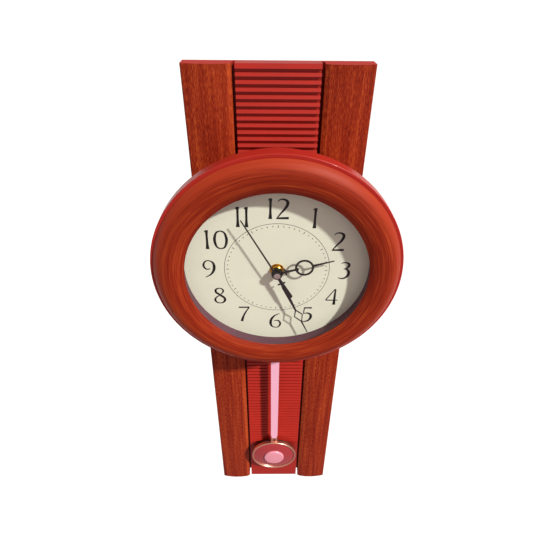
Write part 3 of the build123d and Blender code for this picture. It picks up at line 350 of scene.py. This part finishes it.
def moulded_plastic(name, shade, roughness=0.4, texture_mm=0.7, relief_mm=0.008, cloud_mm=30.0, coat=0.0):
    """Injection-moulded plastic: an even colour with a faint cloud in it and a fine texture from the
    mould, which breaks up its highlights."""
    material, tree, shader, place = start(name)
    cloud = add(tree, "TexNoise", {"Vector": place, "Scale": per_metre(cloud_mm), "Detail": 3.0}).outputs[0]
    body = add(
        tree, "Mix", {MIX_FACTOR: cloud, MIX_FIRST: shaded(shade, 0.86), MIX_SECOND: shaded(shade, 1.12)},
        data_type="RGBA",
    ).outputs[MIX_COLOUR]
    texture = add(
        tree, "TexNoise", {"Vector": place, "Scale": per_metre(texture_mm), "Detail": 2.0}
    ).outputs[0]
    gloss = add(
        tree, "MapRange",
        {RANGE_VALUE: texture, RANGE_TO_LOW: roughness - 0.06, RANGE_TO_HIGH: roughness + 0.08},
    ).outputs[0]
    relief = add(tree, "Bump", {"Height": texture, "Distance": relief_mm * MM, "Strength": 1.0}).outputs[0]
    dress(
        tree, shader, Base_Color=body, Roughness=gloss, Normal=relief, IOR=1.53, Coat_Weight=coat,
        Coat_Roughness=0.12, Specular_IOR_Level=0.18,
    )
    return material


def float_glass(name):
    """Flat float glass: clear, with a faint sharp mirror on the face where a ray enters it. A thin film
    of dust makes the mirror a little uneven, and its mauve tint is that of a dim room before it."""
    material, tree, shader, place = start(name)
    tree.nodes.remove(shader)
    film = add(tree, "TexNoise", {"Vector": place, "Scale": per_metre(45.0), "Detail": 4.0}).outputs[0]
    haze = add(
        tree, "MapRange", {RANGE_VALUE: film, RANGE_TO_LOW: 0.01, RANGE_TO_HIGH: 0.09}
    ).outputs[0]
    clear = add(tree, "BsdfTransparent", {"Color": linear("#FEFFFE")})
    mirror = add(tree, "BsdfGlossy", {"Color": linear("#7E6A78"), "Roughness": haze})
    share = add(tree, "Fresnel", {"IOR": 1.5})
    # without this, light leaving the pane would meet total reflection
    inside = add(tree, "NewGeometry").outputs["Backfacing"]
    outside = add(tree, "Math", {0: 1.0, 1: inside}, operation="SUBTRACT")
    share = add(tree, "Math", {0: share.outputs[0], 1: outside.outputs[0]}, operation="MULTIPLY")
    mix = add(tree, "MixShader", {0: share.outputs[0], 1: clear.outputs[0], 2: mirror.outputs[0]})
    tree.links.new(mix.outputs[0], tree.nodes["Material Output"].inputs["Surface"])
    return material


def dial_lacquer(name, settings):
    """Sheet metal sprayed with cream lacquer: a smooth pale ground, very faintly mottled, with a soft
    sheen."""
    material, tree, shader, place = start(name)
    mottle = add(tree, "TexNoise", {"Vector": place, "Scale": per_metre(18.0), "Detail": 4.0}).outputs[0]
    ground = tuple(settings.ground)
    tone = add(
        tree, "Mix", {MIX_FACTOR: mottle, MIX_FIRST: shaded(ground, 0.95), MIX_SECOND: shaded(ground, 1.04)},
        data_type="RGBA",
    ).outputs[MIX_COLOUR]
    peel = add(tree, "TexNoise", {"Vector": place, "Scale": per_metre(1.2), "Detail": 2.0}).outputs[0]
    relief = add(tree, "Bump", {"Height": peel, "Distance": 0.006 * MM, "Strength": 0.6}).outputs[0]
    dress(tree, shader, Base_Color=tone, Roughness=0.5, IOR=1.5, Normal=relief)
    return material


# ---------------------------------------------------------------- materials of the works
def plated_metal(name, shade, roughness=0.22, wear_mm=6.0, uneven=0.10):
    """Plated or polished metal: a bright mirror that is slightly cloudy where it has been handled."""
    material, tree, shader, place = start(name)
    wear = add(tree, "TexNoise", {"Vector": place, "Scale": per_metre(wear_mm), "Detail": 4.0}).outputs[0]
    gloss = add(
        tree, "MapRange",
        {RANGE_VALUE: wear, RANGE_TO_LOW: max(0.03, roughness - uneven), RANGE_TO_HIGH: roughness + uneven},
    ).outputs[0]
    tone = add(
        tree, "Mix", {MIX_FACTOR: wear, MIX_FIRST: shaded(shade, 0.88), MIX_SECOND: shaded(shade, 1.08)},
        data_type="RGBA",
    ).outputs[MIX_COLOUR]
    dress(tree, shader, Base_Color=tone, Metallic=1.0, Roughness=gloss)
    return material


def turned_metal(name, shade, centre, roughness=0.25, groove_mm=0.35):
    """Metal turned on a lathe: fine rings round its axis, which spread the highlight across them."""
    material, tree, shader, place = start(name)
    rings = cells(tree, around(tree, place, centre, 5.0), groove_mm, 400.0, 2.0)
    tone = add(
        tree, "Mix", {MIX_FACTOR: rings, MIX_FIRST: shaded(shade, 0.78), MIX_SECOND: shaded(shade, 1.15)},
        data_type="RGBA",
    ).outputs[MIX_COLOUR]
    relief = add(tree, "Bump", {"Height": rings, "Distance": 0.02 * MM, "Strength": 0.7}).outputs[0]
    dress(tree, shader, Base_Color=tone, Metallic=1.0, Roughness=roughness, Normal=relief)
    return material


def reflection_pink_strip(name, shade, length_mm):
    """Rolled strip under a clear skin, in a light satin pink with faint lines along the strip showing through
    it. The pink is a painted reflection: the pink surroundings mirrored in a metallised gold strip, painted
    into its colour."""
    material, tree, shader, place = start(name)
    lines = cells(tree, along_board(tree, place), 0.6, length_mm, 2.0)
    tone = add(
        tree, "Mix", {MIX_FACTOR: lines, MIX_FIRST: shaded(shade, 0.92), MIX_SECOND: shaded(shade, 1.08)},
        data_type="RGBA",
    ).outputs[MIX_COLOUR]
    gloss = add(
        tree, "MapRange", {RANGE_VALUE: lines, RANGE_TO_LOW: 0.28, RANGE_TO_HIGH: 0.42}
    ).outputs[0]
    dress(tree, shader, Base_Color=tone, Roughness=gloss, IOR=1.5, Coat_Weight=0.5, Coat_Roughness=0.1)
    return material


def brushed_metal(name, shade, roughness=0.3, line_mm=0.35, length_mm=60.0):
    """Rolled or stamped metal, brushed along its length: a satin sheen with faint lines down it."""
    material, tree, shader, place = start(name)
    lines = cells(tree, along_board(tree, place), line_mm, length_mm, 2.0)
    tone = add(
        tree, "Mix", {MIX_FACTOR: lines, MIX_FIRST: shaded(shade, 0.93), MIX_SECOND: shaded(shade, 1.05)},
        data_type="RGBA",
    ).outputs[MIX_COLOUR]
    gloss = add(
        tree, "MapRange",
        {RANGE_VALUE: lines, RANGE_TO_LOW: roughness - 0.06, RANGE_TO_HIGH: roughness + 0.06},
    ).outputs[0]
    relief = add(tree, "Bump", {"Height": lines, "Distance": 0.01 * MM, "Strength": 0.5}).outputs[0]
    dress(tree, shader, Base_Color=tone, Metallic=1.0, Roughness=gloss, Normal=relief)
    return material


def lacquered(name, shade, roughness=0.16):
    """Sprayed gloss lacquer or enamel: deep colour under a clear skin with a slight orange peel."""
    material, tree, shader, place = start(name)
    peel = add(tree, "TexNoise", {"Vector": place, "Scale": per_metre(2.2), "Detail": 2.0}).outputs[0]
    cloud = add(tree, "TexNoise", {"Vector": place, "Scale": per_metre(12.0), "Detail": 2.0}).outputs[0]
    tone = add(
        tree, "Mix", {MIX_FACTOR: cloud, MIX_FIRST: shaded(shade, 0.85), MIX_SECOND: shaded(shade, 1.15)},
        data_type="RGBA",
    ).outputs[MIX_COLOUR]
    relief = add(tree, "Bump", {"Height": peel, "Distance": 0.01 * MM, "Strength": 0.6}).outputs[0]
    dress(
        tree, shader, Base_Color=tone, Roughness=roughness, IOR=1.5, Normal=relief, Coat_Weight=1.0,
        Coat_Roughness=0.05,
    )
    return material


def printing_ink(name, shade):
    """Screen-printed ink: matt black with a dry, slightly uneven surface."""
    material, tree, shader, place = start(name)
    dry = add(tree, "TexNoise", {"Vector": place, "Scale": per_metre(0.8), "Detail": 2.0}).outputs[0]
    tone = add(
        tree, "Mix", {MIX_FACTOR: dry, MIX_FIRST: shaded(shade, 0.8), MIX_SECOND: shaded(shade, 1.6)},
        data_type="RGBA",
    ).outputs[MIX_COLOUR]
    dress(tree, shader, Base_Color=tone, Roughness=0.55, IOR=1.5)
    return material


def wound_copper(name, axis):
    """Enamelled copper wire, wound tight: amber-red turns side by side. The 0.08 mm wire is drawn
    0.35 mm thick so that the turns show."""
    material, tree, shader, place = start(name)
    parts = add(tree, "SeparateXYZ", {0: place})
    phase = 2 * math.pi * per_metre(0.35)
    angle = add(tree, "Math", {0: parts.outputs[axis], 1: phase}, operation="MULTIPLY").outputs[0]
    wave = add(tree, "Math", {0: angle}, operation="SINE").outputs[0]
    turns = add(tree, "MapRange", {RANGE_VALUE: wave, RANGE_FROM_LOW: -1.0}).outputs[0]
    tone = add(
        tree, "Mix", {MIX_FACTOR: turns, MIX_FIRST: linear("#6E2411"), MIX_SECOND: linear("#C8682F")},
        data_type="RGBA",
    ).outputs[MIX_COLOUR]
    relief = add(tree, "Bump", {"Height": turns, "Distance": 0.1 * MM, "Strength": 0.8}).outputs[0]
    dress(
        tree, shader, Base_Color=tone, Metallic=1.0, Roughness=0.28, Normal=relief, Coat_Weight=0.6,
        Coat_Roughness=0.1,
    )
    return material


def circuit_laminate(name):
    """Glass-cloth laminate under green solder resist: a faint weave and lighter copper tracks."""
    material, tree, shader, place = start(name)
    scale = per_metre(1.4, 1.4, 1.4)
    grid = add(tree, "VectorMath", {0: place, 1: scale}, operation="MULTIPLY").outputs[0]
    tracks = add(
        tree, "TexVoronoi", {"Vector": grid, "Scale": 0.45}, distance="MANHATTAN", feature="F1"
    ).outputs["Distance"]
    edge = add(tree, "Math", {0: tracks, 1: 0.62}, operation="GREATER_THAN").outputs[0]
    tone = add(
        tree, "Mix", {MIX_FACTOR: edge, MIX_FIRST: linear("#17552B"), MIX_SECOND: linear("#2E7A3C")},
        data_type="RGBA",
    ).outputs[MIX_COLOUR]
    relief = add(tree, "Bump", {"Height": edge, "Distance": 0.03 * MM, "Strength": 0.8}).outputs[0]
    dress(tree, shader, Base_Color=tone, Roughness=0.3, IOR=1.55, Normal=relief)
    return material


def printed_sleeve(name):
    """Printed plastic sleeve of a dry cell: a dark body, one bright band near the positive end and a
    thin pale line where they meet."""
    material, tree, shader, place = start(name)
    run = add(tree, "SeparateXYZ", {0: place}).outputs["X"]
    share = add(
        tree, "MapRange",
        {RANGE_VALUE: run, RANGE_FROM_LOW: BATTERY_LOW.x, RANGE_FROM_HIGH: BATTERY_HIGH.x},
    ).outputs[0]
    dark, band, line, cap = linear("#1B2A48"), linear("#C9A14A"), linear("#E9E6DC"), linear("#B9B9B6")
    stops = [(0.0, cap), (0.03, dark), (0.70, line), (0.72, band), (0.96, cap)]
    print_colour = add(tree, "ValToRGB", {0: share}, stops=stops)
    print_colour.color_ramp.interpolation = "CONSTANT"
    crease = add(tree, "TexNoise", {"Vector": place, "Scale": per_metre(9.0), "Detail": 2.0}).outputs[0]
    relief = add(tree, "Bump", {"Height": crease, "Distance": 0.05 * MM, "Strength": 0.5}).outputs[0]
    dress(tree, shader, Base_Color=print_colour.outputs[0], Roughness=0.26, IOR=1.5, Normal=relief)
    return material


# ---------------------------------------------------------------- pieces
def paint(material, *nodes):
    """Gives carried-over CAD nodes their finish."""
    for node in nodes:
        data = NODES[node].data
        data.materials.clear()
        data.materials.append(material)


def printed_piece(name, verts, faces, settings):
    """A flat print on the dial, as thin closed ink. The outline is in metres, right and up, about the
    hand axis."""
    mesh = bpy.data.meshes.new(name)
    turn = Matrix.Rotation(settings.print_turn, 4, "Y")
    face_y = -settings.ink_thickness
    places = [DIAL_CENTRE + turn @ Vector((x, face_y, z)) for x, z in verts]
    mesh.from_pydata(places, [], faces)
    mesh.update()
    build = bmesh.new()
    build.from_mesh(mesh)
    bmesh.ops.recalc_face_normals(build, faces=build.faces)
    build.normal_update()
    # all ink faces the viewer
    bmesh.ops.reverse_faces(build, faces=[face for face in build.faces if face.normal.y > 0])
    build.to_mesh(mesh)
    build.free()
    piece = bpy.data.objects.new(name, mesh)
    bpy.context.scene.collection.objects.link(piece)
    solid = piece.modifiers.new("ink", "SOLIDIFY")
    solid.thickness = settings.ink_thickness
    solid.offset = -1.0
    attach(piece, "case")
    return piece


def smooth_run(points, steps):
    """Points on a smooth curve through the given (x, z, width) points."""
    ends = [points[0]] + list(points) + [points[-1]]
    run = []
    for a, b, c, d in zip(ends, ends[1:], ends[2:], ends[3:]):
        for step in range(steps):
            t = step / steps
            run.append(tuple(
                0.5 * (
                    2 * q + (r - p) * t
                    + (2 * p - 5 * q + 4 * r - s) * t**2 + (3 * q - p - 3 * r + s) * t**3
                )
                for p, q, r, s in zip(a, b, c, d)
            ))
    run.append(tuple(points[-1]))
    return run


def stroke_quads(points, steps=7):
    """The quads of one pen stroke of changing width."""
    run = smooth_run(points, steps)
    edges = []
    for i, (x, z, width) in enumerate(run):
        before, after = run[max(i - 1, 0)], run[min(i + 1, len(run) - 1)]
        along = Vector((after[0] - before[0], after[1] - before[1])).normalized()
        side = Vector((-along.y, along.x)) * width / 2
        edges.append(((x + side.x, z + side.y), (x - side.x, z - side.y)))
    return [[a[0], a[1], b[1], b[0]] for a, b in zip(edges, edges[1:])]


def flat_union(polygons):
    """One triangulated outline from overlapping polygons."""
    verts, faces = [], []
    for polygon in polygons:
        faces.append(list(range(len(verts), len(verts) + len(polygon))))
        verts.extend(Vector(corner) for corner in polygon)
    merged = delaunay_2d_cdt(verts, [], faces, 1, 1e-6)
    kept = [face for face, source in zip(merged[2], merged[5]) if source]
    return merged[0], kept


# Pen strokes of the numerals: (right, up, width) in millimetres, about the middle of a numeral that is
# 20.8 mm high. They are flared roman strokes, thick on the turns and thin at the joins.
GLYPH_HEIGHT = 20.8
GLYPHS = {
    "0": [[(0, 9.8, 1.2), (-3.9, 7.6, 1.9), (-5.7, 0, 2.7), (-3.9, -7.6, 1.9), (0, -9.8, 1.2)],
          [(0, 9.8, 1.2), (3.9, 7.6, 1.9), (5.7, 0, 2.7), (3.9, -7.6, 1.9), (0, -9.8, 1.2)]],
    "1": [[(0.1, 10.4, 2.9), (0.0, 5.0, 2.2), (0.0, -4.0, 2.3), (0.0, -10.4, 3.6)],
          [(1.2, 10.2, 0.6), (-0.4, 9.4, 1.5), (-2.2, 8.6, 0.9)]],
    "2": [[(-4.9, 7.0, 0.6), (-3.0, 9.1, 1.2), (0.4, 9.6, 1.7), (3.7, 7.7, 2.6), (3.9, 4.4, 2.8),
           (1.8, 0.2, 2.3), (-1.8, -4.4, 1.6), (-4.9, -8.9, 1.2)],
          [(-5.9, -9.7, 1.4), (-2.0, -9.4, 2.0), (5.6, -9.2, 2.5)]],
    "3": [[(-3.6, 8.6, 0.6), (-1.6, 9.6, 1.2), (1.4, 9.6, 1.6), (4.0, 7.6, 2.5), (3.4, 4.4, 2.2),
           (0.2, 2.1, 1.0)],
          [(-0.8, 2.2, 0.9), (2.4, 1.6, 1.7), (4.6, -1.6, 2.7), (4.2, -5.8, 2.7), (1.0, -9.0, 1.8),
           (-2.8, -9.6, 1.3), (-5.4, -8.4, 0.6)]],
    "4": [[(2.4, 10.2, 1.0), (-2.0, 3.0, 1.2), (-6.2, -4.0, 1.2)],
          [(-6.5, -4.3, 1.3), (0.0, -4.3, 1.4), (6.4, -4.2, 1.0)],
          [(2.9, 10.4, 1.4), (2.8, 2.0, 2.2), (2.8, -5.0, 2.5), (2.8, -10.4, 3.3)]],
    "5": [[(-3.2, 9.5, 1.8), (0.4, 9.4, 1.8), (4.7, 9.5, 2.1)],
          [(-3.0, 10.0, 1.3), (-3.4, 5.4, 1.1), (-3.7, 1.4, 1.0)],
          [(-3.8, 1.4, 0.9), (0.0, 2.3, 1.6), (3.6, 0.4, 2.6), (4.3, -3.8, 2.8), (2.0, -8.0, 2.1),
           (-1.8, -9.7, 1.4), (-4.9, -9.2, 0.7)]],
    "6": [[(4.3, 10.2, 0.7), (-1.0, 7.0, 1.7), (-4.2, 2.2, 2.6), (-5.1, -3.3, 2.8), (-3.7, -7.8, 1.9),
           (0.3, -9.8, 1.1), (4.0, -8.2, 1.6), (5.3, -3.4, 2.1), (2.7, 0.3, 1.5), (-1.2, -0.2, 0.9)]],
    "7": [[(-5.6, 9.2, 1.9), (0.0, 9.2, 1.8), (5.8, 9.4, 1.9)],
          [(5.6, 9.4, 1.2), (1.9, 3.0, 1.6), (-0.9, -3.6, 2.2), (-2.6, -10.4, 3.0)]],
    "8": [[(-0.3, 9.8, 1.2), (-3.7, 8.0, 2.0), (-3.8, 4.4, 2.4), (0.0, 1.0, 2.4), (4.2, -2.6, 2.5),
           (4.9, -6.2, 2.5), (2.6, -9.2, 1.6), (-0.3, -9.8, 1.2)],
          [(-0.3, 9.8, 1.2), (2.8, 8.4, 1.6), (3.5, 5.4, 1.8), (0.6, 1.4, 1.1), (-4.0, -2.6, 1.6),
           (-5.1, -6.0, 2.2), (-3.2, -9.0, 1.6), (-0.3, -9.8, 1.2)]],
    "9": [[(-4.3, -10.2, 0.7), (1.0, -7.0, 1.7), (4.2, -2.2, 2.6), (5.1, 3.3, 2.8), (3.7, 7.8, 1.9),
           (-0.3, 9.8, 1.1), (-4.0, 8.2, 1.6), (-5.3, 3.4, 2.1), (-2.7, -0.3, 1.5), (1.2, 0.2, 0.9)]],
}
# Digits of each numeral with the place of their middles, right of the numeral's middle
NUMERALS = {
    1: (("1", 0.0),), 2: (("2", 0.0),), 3: (("3", 0.0),), 4: (("4", 0.0),), 5: (("5", 0.0),),
    6: (("6", 0.0),), 7: (("7", 0.0),), 8: (("8", 0.0),), 9: (("9", 0.0),),
    10: (("1", -8.9), ("0", 3.9)), 11: (("1", -3.9), ("1", 4.1)), 12: (("1", -7.6), ("2", 3.8)),
}


def disc_polygon(x, z, radius, sides=12):
    """Corners of a small round dot."""
    return [
        (x + radius * math.cos(math.tau * i / sides), z + radius * math.sin(math.tau * i / sides))
        for i in range(sides)
    ]


# ---------------------------------------------------------------- operators
class CLOCK_OT_case(bpy.types.Operator):
    """Finish the board, the stiles, the drum, the bezel and the glass"""

    bl_idname = "clock.case"
    bl_label = "Case"

    def execute(self, context):
        settings = context.scene.clock_case
        red = tuple(settings.red)
        paint(moulded_plastic("abs_moulded_red", red, coat=0.15), "back_board", "slat_panel", "drum_case")
        paint(wood_foil("wood_foil_straight", settings, False), "left_stile", "right_stile")
        paint(wood_foil("wood_foil_ring", settings, True), "bezel_ring")
        paint(float_glass("glass_float"), "dial_glass")
        spacer = moulded_plastic("abs_moulded_grey", tuple(settings.spacer), roughness=0.5)
        paint(spacer, "spacer_ring")
        paint(
            plated_metal("steel_zinc_plated", linear("#C4C7C9"), roughness=0.34), "hanger_plate",
            "hanger_rivets", "stile_screws", "drum_screws", "bezel_screws",
        )
        return {"FINISHED"}


class CLOCK_OT_dial(bpy.types.Operator):
    """Lacquer the dial and finish its washer and nut"""

    bl_idname = "clock.dial"
    bl_label = "Dial"

    def execute(self, context):
        works = context.scene.clock_works
        paint(dial_lacquer("sheet_lacquered_cream", context.scene.clock_dial), "dial_plate")
        paint(turned_metal("brass_turned", tuple(works.brass), DIAL_CENTRE), "nut_washer", "hand_nut")
        rubber = moulded_plastic("rubber_moulded", linear("#151515"), roughness=0.75, relief_mm=0.02)
        paint(rubber, "dial_washer")
        return {"FINISHED"}


class CLOCK_OT_minute_track(bpy.types.Operator):
    """Print the minute circle, its dots and its hour dashes"""

    bl_idname = "clock.minute_track"
    bl_label = "Minute track"

    def execute(self, context):
        settings = context.scene.clock_dial
        verts, faces = [], []
        half_line = settings.circle_line / 2
        for i in range(CIRCLE_SIDES):
            turn = math.tau * i / CIRCLE_SIDES
            for radius in (settings.circle_radius - half_line, settings.circle_radius + half_line):
                verts.append((radius * math.sin(turn), radius * math.cos(turn)))
        count = len(verts)
        for i in range(0, count, 2):
            faces.append([i, i + 1, (i + 3) % count, (i + 2) % count])
        for minute in range(60):
            turn = math.tau * minute / 60
            spoke = Vector((math.sin(turn), math.cos(turn)))
            centre = spoke * settings.mark_radius
            if minute % 5 == 0:
                end = spoke * settings.dash_length / 2
                side = Vector((spoke.y, -spoke.x)) * settings.dash_width / 2
                corners = [centre - end - side, centre - end + side, centre + end + side, centre + end - side]
            else:
                corners = disc_polygon(centre.x, centre.y, settings.dot_radius)
            faces.append(list(range(len(verts), len(verts) + len(corners))))
            verts.extend(tuple(corner) for corner in corners)
        track = printed_piece("minute_track", verts, faces, settings)
        track.data.materials.append(printing_ink("ink_printed_grey", linear("#15150F")))
        return {"FINISHED"}


class CLOCK_OT_numerals(bpy.types.Operator):
    """Print the twelve hour numerals"""

    bl_idname = "clock.numerals"
    bl_label = "Numerals"

    def execute(self, context):
        settings = context.scene.clock_dial
        ink = printing_ink("ink_printed_black", tuple(settings.ink))
        scale = settings.numeral_height / GLYPH_HEIGHT
        for hour, digits in NUMERALS.items():
            turn = math.tau * hour / 12
            # the numeral stays upright, so its middle is placed but not turned
            middle = Vector((math.sin(turn), math.cos(turn))) * settings.numeral_radius
            quads = []
            for digit, right in digits:
                for stroke in GLYPHS[digit]:
                    quads.extend(stroke_quads([(x + right, z, width) for x, z, width in stroke]))
            outline, faces = flat_union(quads)
            verts = [(middle.x + corner.x * scale, middle.y + corner.y * scale) for corner in outline]
            numeral = printed_piece(f"numeral_{hour:02d}", verts, faces, settings)
            numeral.data.materials.append(ink)
        return {"FINISHED"}


class CLOCK_OT_hands(bpy.types.Operator):
    """Enamel the three hands and plate the cap on the second hand"""

    bl_idname = "clock.hands"
    bl_label = "Hands"

    def execute(self, context):
        works = context.scene.clock_works
        enamel = lacquered("enamel_sprayed_black", tuple(works.enamel), 0.3)
        paint(enamel, "hour_hand", "minute_hand", "second_hand")
        paint(plated_metal("nickel_plated_cap", linear("#E6DED6"), roughness=0.2, uneven=0.05), "second_cap")
        return {"FINISHED"}


class CLOCK_OT_movement(bpy.types.Operator):
    """Finish the movement's case, train, motor, circuit and battery"""

    bl_idname = "clock.movement"
    bl_label = "Movement"

    def execute(self, context):
        works = context.scene.clock_works
        black = moulded_plastic(
            "polystyrene_moulded_black", tuple(works.black), roughness=0.45, relief_mm=0.015
        )
        paint(black, "movement_housing", "movement_cover")
        acetal = moulded_plastic("acetal_moulded_white", tuple(works.acetal), roughness=0.35, texture_mm=1.5)
        paint(
            acetal, "mid_plate", "coil_bobbin", "rotor", "intermediate_wheel", "seconds_wheel", "third_wheel",
            "centre_wheel", "motion_wheel", "hour_wheel", "swing_arm",
        )
        paint(turned_metal("brass_turned_cannon", tuple(works.brass), DIAL_CENTRE), "minute_cannon")
        paint(brushed_metal("steel_stamped_core", linear("#8E9094"), roughness=0.4), "stator", "coil_core")
        paint(wound_copper("copper_wound_motor", "X"), "coil_winding")
        paint(wound_copper("copper_wound_drive", "Y"), "drive_coil")
        paint(circuit_laminate("laminate_green"), "circuit_board")
        epoxy = moulded_plastic("epoxy_potted_black", linear("#101012"), roughness=0.25, cloud_mm=4.0)
        paint(epoxy, "timing_chip")
        nickel = plated_metal("steel_nickel_plated", linear("#CFCDC6"), roughness=0.2, wear_mm=3.0)
        paint(nickel, "quartz_crystal", "contact_plus", "contact_minus", "pivot_pin")
        paint(printed_sleeve("sleeve_printed"), "battery")
        ferrite = moulded_plastic("ferrite_sintered", linear("#3A3B3E"), roughness=0.55, relief_mm=0.03)
        paint(ferrite, "rotor_magnet", "drive_magnet")
        knob = moulded_plastic("abs_moulded_knob", tuple(works.knob), roughness=0.4)
        paint(knob, "setting_knob")
        return {"FINISHED"}


class CLOCK_OT_pendulum(bpy.types.Operator):
    """Finish the rod, its clip and the bob"""

    bl_idname = "clock.pendulum"
    bl_label = "Pendulum"

    def execute(self, context):
        works = context.scene.clock_works
        # painted reflection: rod and disc carry the mirrored pink surroundings in their colour
        paint(reflection_pink_strip("strip_pink_painted_reflection", tuple(works.rod_painted_pink), 60.0), "pendulum_rod")
        paint(reflection_pink_strip("disc_pink_painted_reflection", tuple(works.disc_painted_pink), 25.0), "bob_disc")
        gold = plated_metal("brass_gold_plated", tuple(works.gold), roughness=0.34, uneven=0.06)
        paint(gold, "bob_rim", "rod_neck")
        paint(lacquered("lacquer_sprayed_red", tuple(works.lacquer)), "bob_face")
        paint(plated_metal("steel_zinc_hanger", linear("#C4C7C9"), roughness=0.34), "rod_hanger")
        black = moulded_plastic("abs_moulded_black", tuple(works.black), roughness=0.5)
        paint(black, "bob_back")
        return {"FINISHED"}


class CLOCK_OT_stage(bpy.types.Operator):
    """Set up the floor, the light and the camera"""

    bl_idname = "clock.stage"
    bl_label = "Studio"

    def execute(self, context):
        scene, settings = context.scene, context.scene.clock_studio
        self.lay_floor(scene, settings)
        self.hang_lights(scene, settings)
        self.set_camera(scene, settings)
        scene.view_settings.view_transform = "Standard"
        return {"FINISHED"}

    def lay_floor(self, scene, settings):
        level = BOARD_LOW.z - settings.floor_drop
        mesh = bpy.data.meshes.new("floor")
        front = settings.floor_front
        corners = [
            (-FLOOR_REACH, front), (FLOOR_REACH, front),
            (FLOOR_REACH, FLOOR_REACH), (-FLOOR_REACH, FLOOR_REACH),
        ]
        mesh.from_pydata([(x, y, level) for x, y in corners], [], [(0, 1, 2, 3)])
        floor = bpy.data.objects.new("floor", mesh)
        scene.collection.objects.link(floor)
        material, tree, shader = start("floor_painted_pale")[:3]
        dress(tree, shader, Base_Color=tuple(settings.floor), Roughness=0.9)
        mesh.materials.append(material)

    def hang_lights(self, scene, settings):
        light = bpy.data.lights.new("key", "SUN")
        light.energy = settings.key_strength
        light.angle = settings.key_spread
        light.color = linear("#FFFDFA")[:3]
        key = bpy.data.objects.new("key", light)
        key.rotation_mode = "QUATERNION"
        key.rotation_quaternion = Vector(settings.key_direction).to_track_quat("Z", "Y")
        scene.collection.objects.link(key)
        world = bpy.data.worlds.new("studio")
        world.use_nodes = True
        tree = world.node_tree
        height = add(tree, "SeparateXYZ", {0: add(tree, "TexCoord").outputs["Generated"]}).outputs["Z"]
        share = add(tree, "MapRange", {RANGE_VALUE: height, RANGE_FROM_LOW: -0.8, RANGE_FROM_HIGH: 0.6})
        stops = [(0.0, tuple(settings.under_light)), (1.0, tuple(settings.over_light))]
        shade = add(tree, "ValToRGB", {0: share.outputs[0]}, stops=stops)
        sky = tree.nodes["Background"]
        tree.links.new(shade.outputs[0], sky.inputs["Color"])
        sky.inputs["Strength"].default_value = settings.fill_strength
        scene.world = world

    def set_camera(self, scene, settings):
        azimuth, elevation, roll = settings.azimuth, settings.elevation, settings.roll
        back = Vector((
            math.sin(azimuth) * math.cos(elevation), -math.cos(azimuth) * math.cos(elevation),
            math.sin(elevation),
        ))
        level = Vector((math.cos(azimuth), math.sin(azimuth), 0.0))
        upward = back.cross(level)
        right = math.cos(roll) * level + math.sin(roll) * upward
        up = math.cos(roll) * upward - math.sin(roll) * level
        lens = bpy.data.cameras.new("camera")
        lens.lens = settings.lens
        lens.sensor_width = SENSOR_WIDTH
        lens.shift_y = settings.rise
        lens.clip_start, lens.clip_end = NEAR_CLIP, FAR_CLIP
        camera = bpy.data.objects.new("camera", lens)
        pose = Matrix((right, up, back)).transposed().to_4x4()
        pose.translation = Vector(settings.camera_place)
        camera.matrix_world = pose
        scene.collection.objects.link(camera)
        scene.camera = camera


class CLOCK_PT_panel(bpy.types.Panel):
    """Lists the clock's settings and steps"""

    bl_idname = "CLOCK_PT_panel"
    bl_label = "Wall clock"
    bl_space_type = "VIEW_3D"
    bl_region_type = "UI"
    bl_category = "Wall clock"

    def draw(self, context):
        for step in STEPS:
            self.layout.operator(step.bl_idname)
        for name, group in GROUPS.items():
            box = self.layout.box()
            settings = getattr(context.scene, name)
            for field in group.__annotations__:
                box.prop(settings, field)


GROUPS = {
    "clock_case": CaseSettings, "clock_dial": DialSettings, "clock_works": WorksSettings,
    "clock_studio": StudioSettings,
}
STEPS = (
    CLOCK_OT_stage, CLOCK_OT_case, CLOCK_OT_dial, CLOCK_OT_minute_track, CLOCK_OT_numerals, CLOCK_OT_hands,
    CLOCK_OT_movement, CLOCK_OT_pendulum,
)


def register():
    for entry in (*GROUPS.values(), *STEPS, CLOCK_PT_panel):
        bpy.utils.register_class(entry)
    for name, group in GROUPS.items():
        setattr(bpy.types.Scene, name, bpy.props.PointerProperty(type=group))


def unregister():
    for name in GROUPS:
        delattr(bpy.types.Scene, name)
    for entry in (CLOCK_PT_panel, *reversed(STEPS), *GROUPS.values()):
        bpy.utils.unregister_class(entry)


def main():
    register()
    bpy.ops.clock.stage()
    bpy.ops.clock.case()
    bpy.ops.clock.dial()
    bpy.ops.clock.minute_track()
    bpy.ops.clock.numerals()
    bpy.ops.clock.hands()
    bpy.ops.clock.movement()
    bpy.ops.clock.pendulum()


if __name__ == "__main__":
    main()
